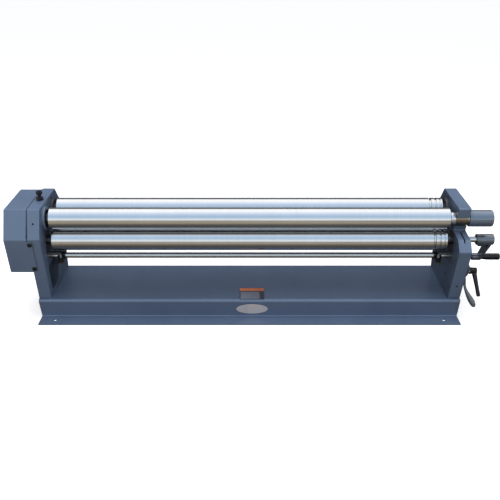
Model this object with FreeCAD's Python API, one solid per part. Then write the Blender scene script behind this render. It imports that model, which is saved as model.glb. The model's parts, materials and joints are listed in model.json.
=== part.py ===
import FreeCAD, Part
import math
import os

# Slip roll for sheet metal: three long rolls between two end frames on a bent-plate base.
# X runs along the rolls, Y away from the operator, Z up.  Millimetres.
# Origin: centre of the four foot-bolt holes, at floor level.

V = FreeCAD.Vector

# Base.
frame_gap = 1400.0             # between the inner faces of the end frames
frame_thickness = 43.0
base_height = 80.0
base_plate = 5.0
base_top_depth = 294.0         # front to back, across the top plate
base_foot_inset = 22.0         # how far the walls lean in on their way down
base_flange = 58.0             # from the wall's foot to the flange edge
base_bend_radius = 4.0         # inside radius of every bend
foot_hole_radius = 7.0
foot_hole_end_inset = 53.0     # from the end of the base
foot_hole_edge_inset = 30.0    # from the edge of the flange

# Rolls.
roll_diameter = 75.0
roll_end_gap = 20.0            # from a roll body to an end frame
roll_chamfer = 2.0
nip_open = 7.2                 # gap between top and lower roll, lower roll dropped
nip_closed = 1.4               # the same gap with the lower roll lifted
lower_roll_setback = 8.0       # lower roll axis behind the top roll axis
rear_roll_back = 112.0         # rear roll axis behind the top roll axis
rear_roll_drop = 6.0           # and below it
journal_radius = 17.5
running_gap = 0.05             # radial clearance of every running fit
wire_groove_radii = (4.0, 3.25, 2.5)
wire_groove_insets = (44.0, 25.0, 10.0)    # from the right end of the roll body

# End frames.
frame_height = 341.0           # top of the end frames above the base
frame_depth = 267.0            # across the foot
frame_front = -133.0           # front of the foot
top_roll_back = 34.0           # top roll axis behind the front of the foot
top_roll_below = 50.0          # and below the top of the frame
frame_edge_round = 2.0
casting_round = 6.0            # corners of the outlines
ledge_round = 4.0
left_nose_reach = 87.0         # corner of the left nose, in front of the top roll axis
left_nose_drop = 44.0          # and below it
nose_top_reach = 46.0          # top of the left nose, in front of the top roll axis
right_nose_reach = 102.0       # corner of the right nose, in front of the top roll axis
right_nose_drop = 2.0          # and below the lower roll axis
ledge_front_reach = 72.0       # front of the right ledge, in front of the top roll axis
ledge_front_drop = 51.0        # and below it
ledge_back_depth = 2.0         # back of the ledge, behind the top roll axis
ledge_back_drop = 44.0         # and below it
ledge_slot_width = 5.0
ledge_slot_depth = 9.0
ledge_slot_stop = 8.0          # end of the slot, in front of the top roll axis
cap_top_reach = 39.0           # top front edge of the right cap, in front of the top roll axis
cap_lip_reach = 29.5           # lower edge of the same face
cap_lip_rise = 14.0            # that edge above the top roll axis
rear_chamfer_depth = 67.0
rear_chamfer_height = 77.0
rear_corner_round = 8.0
slip_out_slope = 21.0          # degrees below level, path of the top roll's right end
slip_out_reach = 90.0          # length of that path's cut
web_hole_radius = 13.0
web_hole_back = 66.0           # behind the front of the foot
web_hole_rise = 57.0           # above the base
pocket_depth = 25.0            # hollow in the inner face of the left frame
pocket_front_wall = 35.0       # left between the pocket and the front face
pocket_back = 131.0            # its back, behind the front of the foot
pocket_belly = 10.0            # how far its back bulges
pocket_top_drop = 29.0         # below the lift shaft
pocket_floor_rise = 18.0       # above the base
pocket_round = 12.0
frame_bolt_radius = 6.0
frame_bolt_depth = 34.0        # into the foot of a frame
frame_bolt_spread = 100.0      # from the middle bolt to the outer ones
frame_bolt_flats = 19.0
frame_bolt_head = 8.0

# Screw with a jam nut on the left frame.
lock_screw_back = 46.0         # behind the top roll axis
lock_screw_radius = 6.0
lock_screw_depth = 30.0
lock_screw_stand = 21.0        # underside of the head above the frame
lock_screw_head_radius = 10.5
lock_screw_head = 11.0
lock_nut_flats = 22.0
lock_nut_height = 10.0

# Bearings.
bush_wall = 3.5
top_bush_radius = 23.0         # bronze bush on the right journal of the top roll
top_bush_clearance = 0.3
top_journal_radius = 19.0
journal_shoulder = 4.0         # step between a journal and its shoulder
barrel_radius = 30.0           # self-aligning bush at the left end of the top roll
barrel_length = 34.0
boss_radius = 41.0
boss_height = 10.0
boss_edge_round = 3.0
block_width = 56.0
block_clearance = 0.4
block_side_gap = 1.0           # block faces inside the faces of the frame
block_corner_round = 2.0
window_corner_round = 3.0
lower_block_above = 23.0       # top of the lower block above the lower roll axis
lower_block_below = 44.5
lug_thickness = 7.0
lug_length = 47.0              # reach of the lift lug inboard of the frame
lug_front = 31.0               # its front and rear edges, in front of the lower roll axis
lug_rear = 13.0
rear_slide_angle = 45.0        # rear roll guide, degrees above level, rising to the front
rear_travel_up = 6.0
rear_travel_down = 62.0
rear_flange_radius = 37.0      # round flange of the rear block, on the frame's inner face
rear_flange_thickness = 9.0

# Drive gears.
gear_teeth = 15
gear_width = 24.0
gear_gap = 5.0                 # from the frame to the gears
gear_pressure_angle = 14.5
gear_tooth_share = 0.445       # tooth thickness as a share of the pitch
gear_addendum = 6.0
gear_dedendum = 7.0
gear_shaft_radius = 15.0
gear_shoulder_gap = 1.0        # shoulder of the journal short of the gear
key_width = 8.0
key_height = 7.0
gear_washer_radius = 22.0
gear_washer_thickness = 4.0
gear_bolt_radius = 5.0
gear_bolt_depth = 24.0
gear_bolt_flats = 17.0
gear_bolt_head = 6.5

# Gear cover.
cover_width = 77.0
cover_wall = 4.0
cover_seam = 0.3
cover_lap = 16.0               # strip over the frame's front face
cover_lap_thickness = 3.0
cover_lap_end = 6.0            # strip beyond its outer screws
cover_below = 94.0             # bottom of the cover below the lower roll axis
cover_back = 199.0             # its back, behind the top roll axis
cover_slope_depth = 45.0       # sloping corner between its back and its top
cover_corner_round = 5.0
cover_edge_round = 3.0
cover_screw_radius = 4.0
cover_screw_length = 16.0
cover_screw_head_radius = 8.0
cover_screw_head = 4.4
cover_screw_drops = (18.0, 118.0)          # below the lower corner of the nose

# Lift shaft.
lift_shaft_radius = 10.0
lift_shaft_drop = 60.0         # below the lower roll axis
lift_shaft_recess = 3.0        # ends of the shaft inside the faces around them
lift_arm_reach = 22.0          # shaft axis to lift bolt
lift_arm_inset = 44.0          # lift bolt axis inboard of the frame
lift_collar_width = 26.0
lift_collar_radius = 13.5
lift_arm_width = 20.0
lift_arm_height = 12.0
lift_bolt_radius = 6.0
lift_bolt_gap = 0.4            # bolt tip to lug
lift_bolt_tip = 2.0
lift_bolt_flats = 18.0
lift_bolt_head = 7.0
lift_nut_height = 6.0
cross_pin_radius = 3.0
shaft_bush_wall = 2.5

# Lift lever and its clamp.
lever_gap = 4.0                # from the frame to the lever plate
lever_plate = 8.0
lever_hub_radius = 20.0
lever_hub_length = 24.0
lever_hub_round = 2.0
lever_length = 182.0           # shaft axis to the tip of the paddle
lever_direction = 240.0        # degrees from +Y towards +Z
lever_flare = 26.0             # how far the paddle stands out from the plate
# Sections of the lever: share of its length, share of its flare, half width, half thickness.
lever_sections = ((0.08, 0.0, 13.0, 4.0), (0.45, 0.0, 9.0, 4.0), (0.55, 0.2, 9.0, 6.0),
                  (0.7, 0.55, 13.0, 8.0), (0.84, 0.84, 15.0, 9.0), (0.95, 0.98, 12.0, 7.5),
                  (1.0, 1.0, 6.0, 4.0))
sector_radius = 64.0           # clamp slot's centre line
sector_margin = 12.5
stud_radius = 5.0
stud_clearance = 0.5
stud_depth = 28.0              # stud in the frame
slot_slack = 1.0               # degrees left at each end of the clamp slot
clamp_direction = 212.2        # clamp stud seen from the shaft, degrees from +Y towards +Z
clamp_washer_gap = 0.3
clamp_washer_radius = 11.0
clamp_washer_thickness = 2.8
clamp_hub_radius = 11.0
clamp_hub_length = 26.0
clamp_hub_round = 3.0
clamp_teeth = 12
clamp_tooth_rise = 1.6
clamp_tooth_width = 2.4
clamp_tooth_length = 8.0
clamp_tooth_start = 9.0        # first tooth end, from the hub's inner face
clamp_cap = 2.5                # closed outer end of the hub
clamp_lever_length = 92.0
clamp_lever_out = 20.0         # lean of the lever outwards and to the front over that length
clamp_lever_forward = 34.0
clamp_lever_root = 9.0         # lever axis, from the hub's outer face
clamp_sections = ((0.02, 8.0, 6.0), (0.33, 6.5, 5.0), (0.91, 7.5, 5.5), (1.0, 5.0, 3.5))

# Crank.
crank_shaft_radius = 10.0
crank_hub_start = 42.0         # from the frame
crank_hub_radius = 19.0
crank_hub_rim = 6.5            # hub beyond the arm
crank_hub_cap = 4.0            # closed outer end of the hub
crank_hub_round = 2.0
crank_back = 86.5              # grip axis behind the roll axis
crank_drop = 105.5             # and below it
crank_boss_radius = 13.0
crank_boss_length = 32.5
crank_arm_gap = 1.2            # the arm's flat part passes outside the top roll's knob
crank_arm_thickness = 9.0
crank_arm_round = 2.0
crank_rib_inset = 12.0         # rib on the arm, from the hub's inner end
crank_rib_width = 18.0
crank_rib_reach = 36.0         # from the roll axis along the arm
crank_rib_round = 8.0
set_screw_radius = 4.0
set_screw_inset = 16.0         # from the hub's inner end
set_screw_bite = 2.0
grip_gap = 2.0
grip_radius = 12.0
grip_length = 67.5
grip_recess = 10.0             # well for the spindle's head
grip_recess_margin = 0.5
spindle_radius = 5.0
spindle_head_radius = 7.5
spindle_head = 4.0

# Top roll knob.
knob_radius = 28.5
knob_length = 82.0
knob_gap = 3.3                 # from the frame, room for the tilt of the roll
knob_bore_radius = 14.0
knob_seat_depth = 61.0
knob_edge = 5.0                # rounded outer edge

# Rear adjusting screws.
screw_radius = 10.0
screw_collar_radius = 14.0
screw_collar_length = 3.0
screw_neck_radius = 8.0
screw_neck_length = 2.5
screw_collar_gap = 0.3
screw_boss_radius = 20.0
screw_boss_rise = 14.0
rear_knob_radius = 24.0
rear_knob_length = 28.0
rear_knob_gap = 12.0           # left between knob and boss at the top of the travel
rear_knob_flutes = 6
rear_knob_flute_radius = 9.0
rear_knob_flute_out = 28.0     # flute axis from the knob's axis
rear_knob_cap = 7.0            # closed end of the knob

# Derived places.
half_gap = frame_gap / 2
half_span = half_gap + frame_thickness
half_body = half_gap - roll_end_gap
roll_radius = roll_diameter / 2
mid_frame = half_gap + frame_thickness / 2
frame_top = base_height + frame_height
frame_back = frame_front + frame_depth
frame_middle = frame_front + frame_depth / 2
top_y = frame_front + top_roll_back
top_z = frame_top - top_roll_below
lower_y = top_y + lower_roll_setback
lower_z = top_z - math.sqrt((roll_diameter + nip_open) ** 2 - lower_roll_setback ** 2)
closed_z = top_z - math.sqrt((roll_diameter + nip_closed) ** 2 - lower_roll_setback ** 2)
lift_travel = closed_z - lower_z
rear_y = top_y + rear_roll_back
rear_z = top_z - rear_roll_drop
shaft_y = lower_y
shaft_z = lower_z - lift_shaft_drop
lift_half_angle = math.degrees(math.asin(lift_travel / 2 / lift_arm_reach))
left_nose = (top_y - left_nose_reach, top_z - left_nose_drop)
right_nose = (top_y - right_nose_reach, lower_z - right_nose_drop)
slide_angle = math.radians(rear_slide_angle)
slide_up = V(0, -math.cos(slide_angle), math.sin(slide_angle))
slide_down = slide_up * -1
slip_angle = math.radians(slip_out_slope)
slip_out = V(0, -math.cos(slip_angle), -math.sin(slip_angle))
along_x = V(1, 0, 0)
upright = V(0, 0, 1)
gear_start = half_span + gear_gap
gear_end = gear_start + gear_width
base_flange_edge = base_top_depth / 2 - base_foot_inset + base_flange
foot_hole_x = half_span - foot_hole_end_inset
foot_hole_y = base_flange_edge - foot_hole_edge_inset
stud_y = shaft_y + sector_radius * math.cos(math.radians(clamp_direction))
stud_z = shaft_z + sector_radius * math.sin(math.radians(clamp_direction))
grip_y = lower_y + crank_back
grip_z = lower_z - crank_drop
knob_end = half_span + knob_gap + knob_length
arm_start = knob_end + crank_arm_gap
arm_end = arm_start + crank_arm_thickness
crank_hub_end = arm_end + crank_hub_rim
screw_boss_end = (frame_back - rear_y) / slide_down.y + screw_boss_rise
through = 1.0                  # how far a cut runs past the face it opens

parts = {}


# Shape helpers.
def cyl_x(x0, x1, y, z, radius):
    """Cylinder along X between two stations."""
    return Part.makeCylinder(radius, abs(x1 - x0), V(min(x0, x1), y, z), along_x)


def tube_x(x0, x1, y, z, outer, inner):
    return cyl_x(x0, x1, y, z, outer).cut(cyl_x(x0, x1, y, z, inner))


def block(x0, x1, y0, y1, z0, z1):
    corner = V(min(x0, x1), min(y0, y1), min(z0, z1))
    return Part.makeBox(abs(x1 - x0), abs(y1 - y0), abs(z1 - z0), corner)


def corner_wire(corners):
    """Closed wire through (point, radius) corners; each corner gets a tangent arc."""
    edges = []
    joints = []
    count = len(corners)
    for i, (here, radius) in enumerate(corners):
        before = (corners[i - 1][0] - here).normalize()
        after = (corners[(i + 1) % count][0] - here).normalize()
        if radius <= 0:
            joints.append((here, here, None))
            continue
        half = before.getAngle(after) / 2
        reach = radius / math.tan(half)
        middle = (before + after).normalize()
        nearest = here + middle * (radius / math.sin(half) - radius)
        joints.append((here + before * reach, here + after * reach, nearest))
    for i, (start, end, nearest) in enumerate(joints):
        if nearest is not None:
            edges.append(Part.Arc(start, nearest, end).toShape())
        following = joints[(i + 1) % count][0]
        if (following - end).Length > 1e-6:
            edges.append(Part.LineSegment(end, following).toShape())
    return Part.Wire(edges)


def side_profile(corners, x0, x1):
    """Prism along X from (y, z, radius) corners."""
    low = min(x0, x1)
    wire = corner_wire([(V(low, y, z), radius) for y, z, radius in corners])
    return Part.Face(wire).extrude(V(abs(x1 - x0), 0, 0))


def lathe_x(stations, y, z):
    """Solid turned about an X axis from (x, radius) stations."""
    points = [V(stations[0][0], y, z)]
    points += [V(x, y, z + radius) for x, radius in stations]
    points += [V(stations[-1][0], y, z), V(stations[0][0], y, z)]
    return Part.Face(Part.makePolygon(points)).revolve(V(0, y, z), along_x, 360)


def lathe_on(base, axis, stations):
    """Solid turned about any axis from (distance, radius) stations."""
    solid = lathe_x(stations, 0, 0)
    solid.Placement = FreeCAD.Placement(base, FreeCAD.Rotation(along_x, axis))
    return solid


def hex_prism(centre, axis, across_flats, length):
    """Hexagonal prism that starts at centre and runs along axis."""
    circle = across_flats / math.sqrt(3)
    turns = [math.radians(60 * i) for i in range(7)]
    ring = [V(circle * math.cos(turn), circle * math.sin(turn), 0) for turn in turns]
    prism = Part.Face(Part.makePolygon(ring)).extrude(V(0, 0, length))
    prism.Placement = FreeCAD.Placement(centre, FreeCAD.Rotation(upright, axis))
    return prism


def turned(shape, y, z, degrees):
    """Shape turned about the X axis through (y, z)."""
    result = shape.copy()
    result.rotate(V(0, y, z), along_x, degrees)
    return result


def mirrored(shape):
    """Left-hand copy of a right-hand shape."""
    return shape.mirror(V(0, 0, 0), along_x)


def edges_in_planes(shape, x_faces):
    """Edges that lie in the given X planes."""
    edges = []
    for edge in shape.Edges:
        box = edge.BoundBox
        if any(abs(box.XMin - x) < 1e-4 and abs(box.XMax - x) < 1e-4 for x in x_faces):
            edges.append(edge)
    return edges


def soften(shape, x_faces, radius):
    return shape.makeFillet(radius, edges_in_planes(shape, x_faces))


def bevel(shape, x_faces, size):
    return shape.makeChamfer(size, edges_in_planes(shape, x_faces))


def rounded_section(centre, long_axis, half_long, short_axis, half_short):
    """Closed wire of an oblong section with well rounded corners."""
    radius = 0.8 * min(half_long, half_short)
    corners = []
    for u, v in ((-1, -1), (1, -1), (1, 1), (-1, 1)):
        corners.append((centre + long_axis * (u * half_long) + short_axis * (v * half_short), radius))
    return corner_wire(corners)


# Base.
def bend_radius(path, i, on_path):
    """Radius of one face of the base plate at corner i; free ends stay square."""
    if i == 0 or i == len(path) - 1:
        return 0.0
    (ya, za), (yb, zb), (yc, zc) = path[i - 1], path[i], path[i + 1]
    right_turn = (yb - ya) * (zc - zb) - (zb - za) * (yc - yb) < 0
    return base_bend_radius if on_path != right_turn else base_bend_radius + base_plate


def bent_section(path):
    """Closed corners of the bent plate: path is its outer face, the plate lies to its right."""
    count = len(path)
    normals = []
    for (y0, z0), (y1, z1) in zip(path, path[1:]):
        length = math.hypot(y1 - y0, z1 - z0)
        normals.append(((z1 - z0) / length, -(y1 - y0) / length))
    corners = [(y, z, bend_radius(path, i, True)) for i, (y, z) in enumerate(path)]
    for i in range(count - 1, -1, -1):
        first = normals[max(i - 1, 0)]
        second = normals[min(i, count - 2)]
        scale = base_plate / (1 + first[0] * second[0] + first[1] * second[1])
        y = path[i][0] + scale * (first[0] + second[0])
        z = path[i][1] + scale * (first[1] + second[1])
        corners.append((y, z, bend_radius(path, i, False)))
    return corners


def frame_bolt_places():
    steps = (-frame_bolt_spread, 0, frame_bolt_spread)
    return [(side * mid_frame, frame_middle + step) for side in (-1, 1) for step in steps]


def make_base():
    top = base_top_depth / 2
    foot = top - base_foot_inset
    path = [(-base_flange_edge, base_plate), (-foot, base_plate), (-top, base_height),
            (top, base_height), (foot, base_plate), (base_flange_edge, base_plate)]
    base = side_profile(bent_section(path), -half_span, half_span)
    cut = base_plate + 2 * through
    for x in (-foot_hole_x, foot_hole_x):
        for y in (-foot_hole_y, foot_hole_y):
            base = base.cut(Part.makeCylinder(foot_hole_radius, cut, V(x, y, -through)))
    for x, y in frame_bolt_places():
        low = V(x, y, base_height - base_plate - through)
        base = base.cut(Part.makeCylinder(frame_bolt_radius, cut, low))
    parts["base_channel"] = base


def make_frame_bolts():
    bolts = []
    under = base_height - base_plate
    for x, y in frame_bolt_places():
        shank = Part.makeCylinder(frame_bolt_radius, base_plate + frame_bolt_depth, V(x, y, under))
        head = hex_prism(V(x, y, under - frame_bolt_head), upright, frame_bolt_flats, frame_bolt_head)
        bolts.append(shank.fuse(head))
    parts["frame_bolts"] = Part.makeCompound(bolts)


# End frames.
def rear_corners():
    """Back of both frames, from the top round to the foot."""
    return [(frame_back - rear_chamfer_depth, frame_top, rear_corner_round),
            (frame_back, frame_top - rear_chamfer_height, rear_corner_round),
            (frame_back, base_height, 0.0)]


def left_outline():
    return [(frame_front, base_height, 0.0),
            (left_nose[0], left_nose[1], casting_round),
            (top_y - nose_top_reach, frame_top, casting_round)]


def right_outline():
    return [(frame_front, base_height, 0.0),
            (right_nose[0], right_nose[1], casting_round),
            (top_y - ledge_front_reach, top_z - ledge_front_drop, ledge_round),
            (top_y + ledge_back_depth, top_z - ledge_back_drop, ledge_round),
            (top_y - cap_lip_reach, top_z + cap_lip_rise, 0.0),
            (top_y - cap_top_reach, frame_top, casting_round)]


def lower_window(x0, x1):
    """Upright window for the lower bearing block, with room for the lift."""
    half = block_width / 2 + block_clearance
    low = lower_z - lower_block_below - block_clearance
    high = lower_z + lower_block_above + lift_travel + block_clearance
    places = ((-half, low), (-half, high), (half, high), (half, low))
    return side_profile([(lower_y + y, z, window_corner_round) for y, z in places], x0, x1)


def along_slide(distance, across=0.0):
    """Place on the rear roll's guide: distance up from the rest place, across to the back."""
    side = V(0, slide_up.z, -slide_up.y)
    place = V(0, rear_y, rear_z) + slide_up * distance + side * across
    return place.y, place.z


def guide_profile(low, high, half, corner_round, x0, x1):
    """Prism along X whose section is an oblong on the rear guide."""
    corners = []
    for distance, across in ((low, -half), (high, -half), (high, half), (low, half)):
        y, z = along_slide(distance, across)
        corners.append((y, z, corner_round))
    return side_profile(corners, x0, x1)


def rear_window(x0, x1):
    half = block_width / 2 + block_clearance
    return guide_profile(-rear_travel_down - half, rear_travel_up + half, half,
                         window_corner_round, x0, x1)


def slip_out_slot(x0, x1):
    """Round seat for the top roll's right bush, open along the slip-out path."""
    radius = top_bush_radius + top_bush_clearance
    seat = cyl_x(x0, x1, top_y, top_z, radius)
    side = V(0, -slip_out.z, slip_out.y) * radius
    start = V(x0, top_y, top_z)
    reach = slip_out * slip_out_reach
    ring = [start + side, start + side + reach, start - side + reach, start - side, start + side]
    lane = Part.Face(Part.makePolygon(ring)).extrude(along_x * (x1 - x0))
    return seat.fuse(lane)


def screw_axis_bore(radius, start, end):
    """Cylinder on the rear adjusting screw's axis; distances run down the guide."""
    y, z = along_slide(-start)
    return Part.makeCylinder(radius, end - start, V(mid_frame, y, z), slide_down)


def frame_common_cuts(frame):
    """Boss and openings that both frames share, in right-hand position."""
    x0 = half_gap - boss_height - through
    x1 = half_span + through
    window_end = rear_travel_down + block_width / 2 + block_clearance
    frame = frame.fuse(screw_axis_bore(screw_boss_radius, window_end, screw_boss_end))
    frame = frame.cut(lower_window(x0, x1))
    frame = frame.cut(rear_window(x0, x1))
    frame = frame.cut(screw_axis_bore(screw_radius, window_end - through, screw_boss_end + through))
    frame = frame.cut(cyl_x(x0, x1, shaft_y, shaft_z, lift_shaft_radius + shaft_bush_wall))
    for x, y in frame_bolt_places():
        frame = frame.cut(Part.makeCylinder(frame_bolt_radius, frame_bolt_depth, V(x, y, base_height)))
    return frame


def front_face_at(z):
    """Front of the left frame at a height between its foot and its nose."""
    share = (z - base_height) / (left_nose[1] - base_height)
    return frame_front + share * (left_nose[0] - frame_front)


def left_pocket():
    """Hollow in the left frame's inner face, with a bulging back."""
    floor = base_height + pocket_floor_rise
    roof = shaft_z - pocket_top_drop
    back = frame_front + pocket_back
    corners = [(front_face_at(floor) + pocket_front_wall, floor), (back - pocket_belly, floor),
               (back + pocket_belly, (floor + roof) / 2), (back, roof),
               (front_face_at(roof) + pocket_front_wall, roof)]
    return side_profile([(y, z, pocket_round) for y, z in corners], half_gap - through,
                        half_gap + pocket_depth)


def make_left_frame():
    frame = side_profile(left_outline() + rear_corners(), half_gap, half_span)
    frame = soften(frame, (half_gap, half_span), frame_edge_round)
    boss_face = half_gap - boss_height
    boss = cyl_x(boss_face, mid_frame, top_y, top_z, boss_radius)
    frame = frame.fuse(soften(boss, (boss_face,), boss_edge_round))
    frame = frame_common_cuts(frame)
    frame = frame.cut(cyl_x(boss_face - through, half_span + through, top_y, top_z,
                            barrel_radius + running_gap))
    frame = frame.cut(left_pocket())
    low = V(mid_frame, top_y + lock_screw_back, frame_top - lock_screw_depth)
    frame = frame.cut(Part.makeCylinder(lock_screw_radius, lock_screw_depth + through, low))
    for place, outward in cover_screw_places():
        frame = frame.cut(Part.makeCylinder(cover_screw_radius, cover_screw_length, place,
                                            outward * -1))
    parts["left_end_frame"] = mirrored(frame)


def make_right_frame():
    frame = side_profile(right_outline() + rear_corners(), half_gap, half_span)
    frame = soften(frame, (half_gap, half_span), frame_edge_round)
    frame = frame_common_cuts(frame)
    x0 = half_gap - through
    x1 = half_span + through
    frame = frame.cut(slip_out_slot(x0, x1))
    frame = frame.cut(cyl_x(x0, x1, frame_front + web_hole_back, base_height + web_hole_rise,
                            web_hole_radius))
    frame = frame.cut(cyl_x(half_span - stud_depth, x1, stud_y, stud_z, stud_radius + running_gap))
    ledge_top = top_z - ledge_back_drop
    slot_floor = top_z - ledge_front_drop - ledge_slot_depth
    half = ledge_slot_width / 2
    frame = frame.cut(block(mid_frame - half, mid_frame + half, right_nose[0],
                            top_y - ledge_slot_stop, slot_floor, ledge_top))
    parts["right_end_frame"] = frame


# Rolls.
def roll_with_journals(left, right, y, z):
    """Turned roll: left and right are (x, radius) stations of the journals, outermost last."""
    stations = [(-x, radius) for x, radius in reversed(left)]
    stations += [(-half_body, left[0][1]), (-half_body, roll_radius - roll_chamfer),
                 (-half_body + roll_chamfer, roll_radius),
                 (half_body - roll_chamfer, roll_radius), (half_body, roll_radius - roll_chamfer),
                 (half_body, right[0][1])]
    stations += right
    return lathe_x(stations, y, z)


def wire_grooves(roll, y, z):
    """Round grooves at the right end, where wired edges pass between the rolls."""
    for radius, inset in zip(wire_groove_radii, wire_groove_insets):
        section = Part.Circle(V(half_body - inset, y, z + roll_radius), V(0, 1, 0), radius)
        disc = Part.Face(Part.Wire([section.toShape()]))
        roll = roll.cut(disc.revolve(V(0, y, z), along_x, 360))
    return roll


def gear_journal():
    """Stations of a left journal that carries a gear, outermost last."""
    shoulder = gear_start - gear_shoulder_gap
    return [(shoulder, journal_radius), (shoulder, gear_shaft_radius), (gear_end, gear_shaft_radius)]


def key_solid(y, z):
    half = key_width / 2
    middle = z + gear_shaft_radius
    return block(-gear_start, -gear_end, y - half, y + half,
                 middle - key_height / 2, middle + key_height / 2)


def gear_seat_cuts(roll, y, z):
    """Keyway and bolt hole in the left journal."""
    roll = roll.cut(key_solid(y, z))
    return roll.cut(cyl_x(-gear_end - through, -gear_end + gear_bolt_depth, y, z, gear_bolt_radius))


def barrel_bush():
    """Bush with a spherical outside, which lets the top roll swing out at its right end."""
    half = barrel_length / 2
    inner = journal_radius + running_gap
    edge = math.sqrt(barrel_radius ** 2 - half ** 2)
    corners = [V(-mid_frame + x, top_y, top_z + radius)
               for x, radius in ((half, edge), (half, inner), (-half, inner), (-half, edge))]
    crown = V(-mid_frame, top_y, top_z + barrel_radius)
    wire = Part.Wire([Part.makePolygon(corners), Part.Arc(corners[-1], crown, corners[0]).toShape()])
    return Part.Face(wire).revolve(V(0, top_y, top_z), along_x, 360)


def make_top_roll():
    barrel_end = mid_frame - barrel_length / 2 - gear_shoulder_gap
    left = [(barrel_end, journal_radius + journal_shoulder), (barrel_end, journal_radius)]
    knob_start = half_span + knob_gap
    knob_seat = knob_start + knob_seat_depth
    collar = half_gap - gear_shoulder_gap
    right = [(collar, top_journal_radius + journal_shoulder), (collar, top_journal_radius),
             (knob_start, top_journal_radius), (knob_start, knob_bore_radius),
             (knob_seat, knob_bore_radius)]
    roll = roll_with_journals(left + gear_journal(), right, top_y, top_z)
    parts["top_roll"] = gear_seat_cuts(roll, top_y, top_z)
    parts["top_roll_right_bush"] = tube_x(half_gap, half_span - block_side_gap, top_y, top_z,
                                          top_bush_radius, top_journal_radius + running_gap)
    parts["top_roll_left_bush"] = barrel_bush()
    knob = lathe_x([(knob_start, knob_radius - roll_chamfer), (knob_start + roll_chamfer, knob_radius),
                    (knob_end - knob_edge, knob_radius),
                    (knob_end - knob_edge / 3, knob_radius - knob_edge / 3),
                    (knob_end, knob_radius - knob_edge)], top_y, top_z)
    parts["top_roll_knob"] = knob.cut(cyl_x(knob_start - through, knob_seat, top_y, top_z,
                                            knob_bore_radius))


def make_lower_roll():
    neck = half_span - block_side_gap
    right = [(neck, journal_radius), (neck, crank_shaft_radius),
             (crank_hub_end - crank_hub_cap, crank_shaft_radius)]
    roll = roll_with_journals(gear_journal(), right, lower_y, lower_z)
    roll = gear_seat_cuts(roll, lower_y, lower_z)
    roll = wire_grooves(roll, lower_y, lower_z)
    parts["lower_roll"] = roll.cut(crank_set_screw())


def make_rear_roll():
    ends = [(half_span - block_side_gap, journal_radius)]
    parts["rear_roll"] = wire_grooves(roll_with_journals(ends, ends, rear_y, rear_z), rear_y, rear_z)


# Drive gears.
def involute_flank(base, tip, turn, side):
    """Arc through three places of an involute, from its base circle to the tip circle."""
    points = []
    for share in (0.0, 0.5, 1.0):
        radius = base + (tip - base) * share
        pressure = math.acos(min(1.0, base / radius))
        angle = turn - side * (math.tan(pressure) - pressure)
        points.append(V(0, radius * math.cos(angle), radius * math.sin(angle)))
    return Part.Arc(*points).toShape(), points[0], points[-1]


def gear_blank(phase):
    """Spur gear about the X axis, one tooth at the phase angle (radians from +Y to +Z)."""
    alpha = math.radians(gear_pressure_angle)
    base = roll_radius * math.cos(alpha)
    tip = roll_radius + gear_addendum
    root = roll_radius - gear_dedendum
    step = 2 * math.pi / gear_teeth
    half_tooth = step * gear_tooth_share / 2 + math.tan(alpha) - alpha
    edges = []
    for tooth in range(gear_teeth):
        centre = phase + tooth * step
        rise, low_a, high_a = involute_flank(base, tip, centre - half_tooth, -1)
        fall, low_b, high_b = involute_flank(base, tip, centre + half_tooth, 1)
        root_a = low_a * (root / base)
        root_b = low_b * (root / base)
        next_angle = centre + step - half_tooth
        gap_angle = centre + step / 2
        crown = V(0, tip * math.cos(centre), tip * math.sin(centre))
        valley = V(0, root * math.cos(gap_angle), root * math.sin(gap_angle))
        next_root = V(0, root * math.cos(next_angle), root * math.sin(next_angle))
        edges.append(Part.LineSegment(root_a, low_a).toShape())
        edges.append(rise)
        edges.append(Part.Arc(high_a, crown, high_b).toShape())
        edges.append(fall)
        edges.append(Part.LineSegment(low_b, root_b).toShape())
        edges.append(Part.Arc(root_b, valley, next_root).toShape())
    face = Part.Face(Part.Wire(Part.__sortEdges__(edges)))
    return face.extrude(along_x * gear_width)


def make_gear(prefix, y, z, phase):
    """Gear with the key, end washer and bolt that hold it on its journal."""
    gear = gear_blank(phase)
    gear.translate(V(-gear_end, y, z))
    gear = gear.cut(cyl_x(-gear_end - through, -gear_start + through, y, z, gear_shaft_radius))
    parts[prefix + "_gear"] = gear.cut(key_solid(y, z))
    parts[prefix + "_gear_key"] = key_solid(y, z)
    washer_end = -gear_end - gear_washer_thickness
    parts[prefix + "_gear_washer"] = tube_x(washer_end, -gear_end, y, z, gear_washer_radius,
                                            gear_bolt_radius)
    shank = cyl_x(washer_end, -gear_end + gear_bolt_depth, y, z, gear_bolt_radius)
    head = hex_prism(V(washer_end, y, z), along_x * -1, gear_bolt_flats, gear_bolt_head)
    parts[prefix + "_gear_bolt"] = shank.fuse(head)


def make_drive_gears():
    """The two gears in mesh: a tooth of the top gear faces a space of the lower gear."""
    to_lower = math.atan2(lower_z - top_z, lower_y - top_y)
    make_gear("top", top_y, top_z, to_lower)
    make_gear("lower", lower_y, lower_z, to_lower + math.pi + math.pi / gear_teeth)


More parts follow.
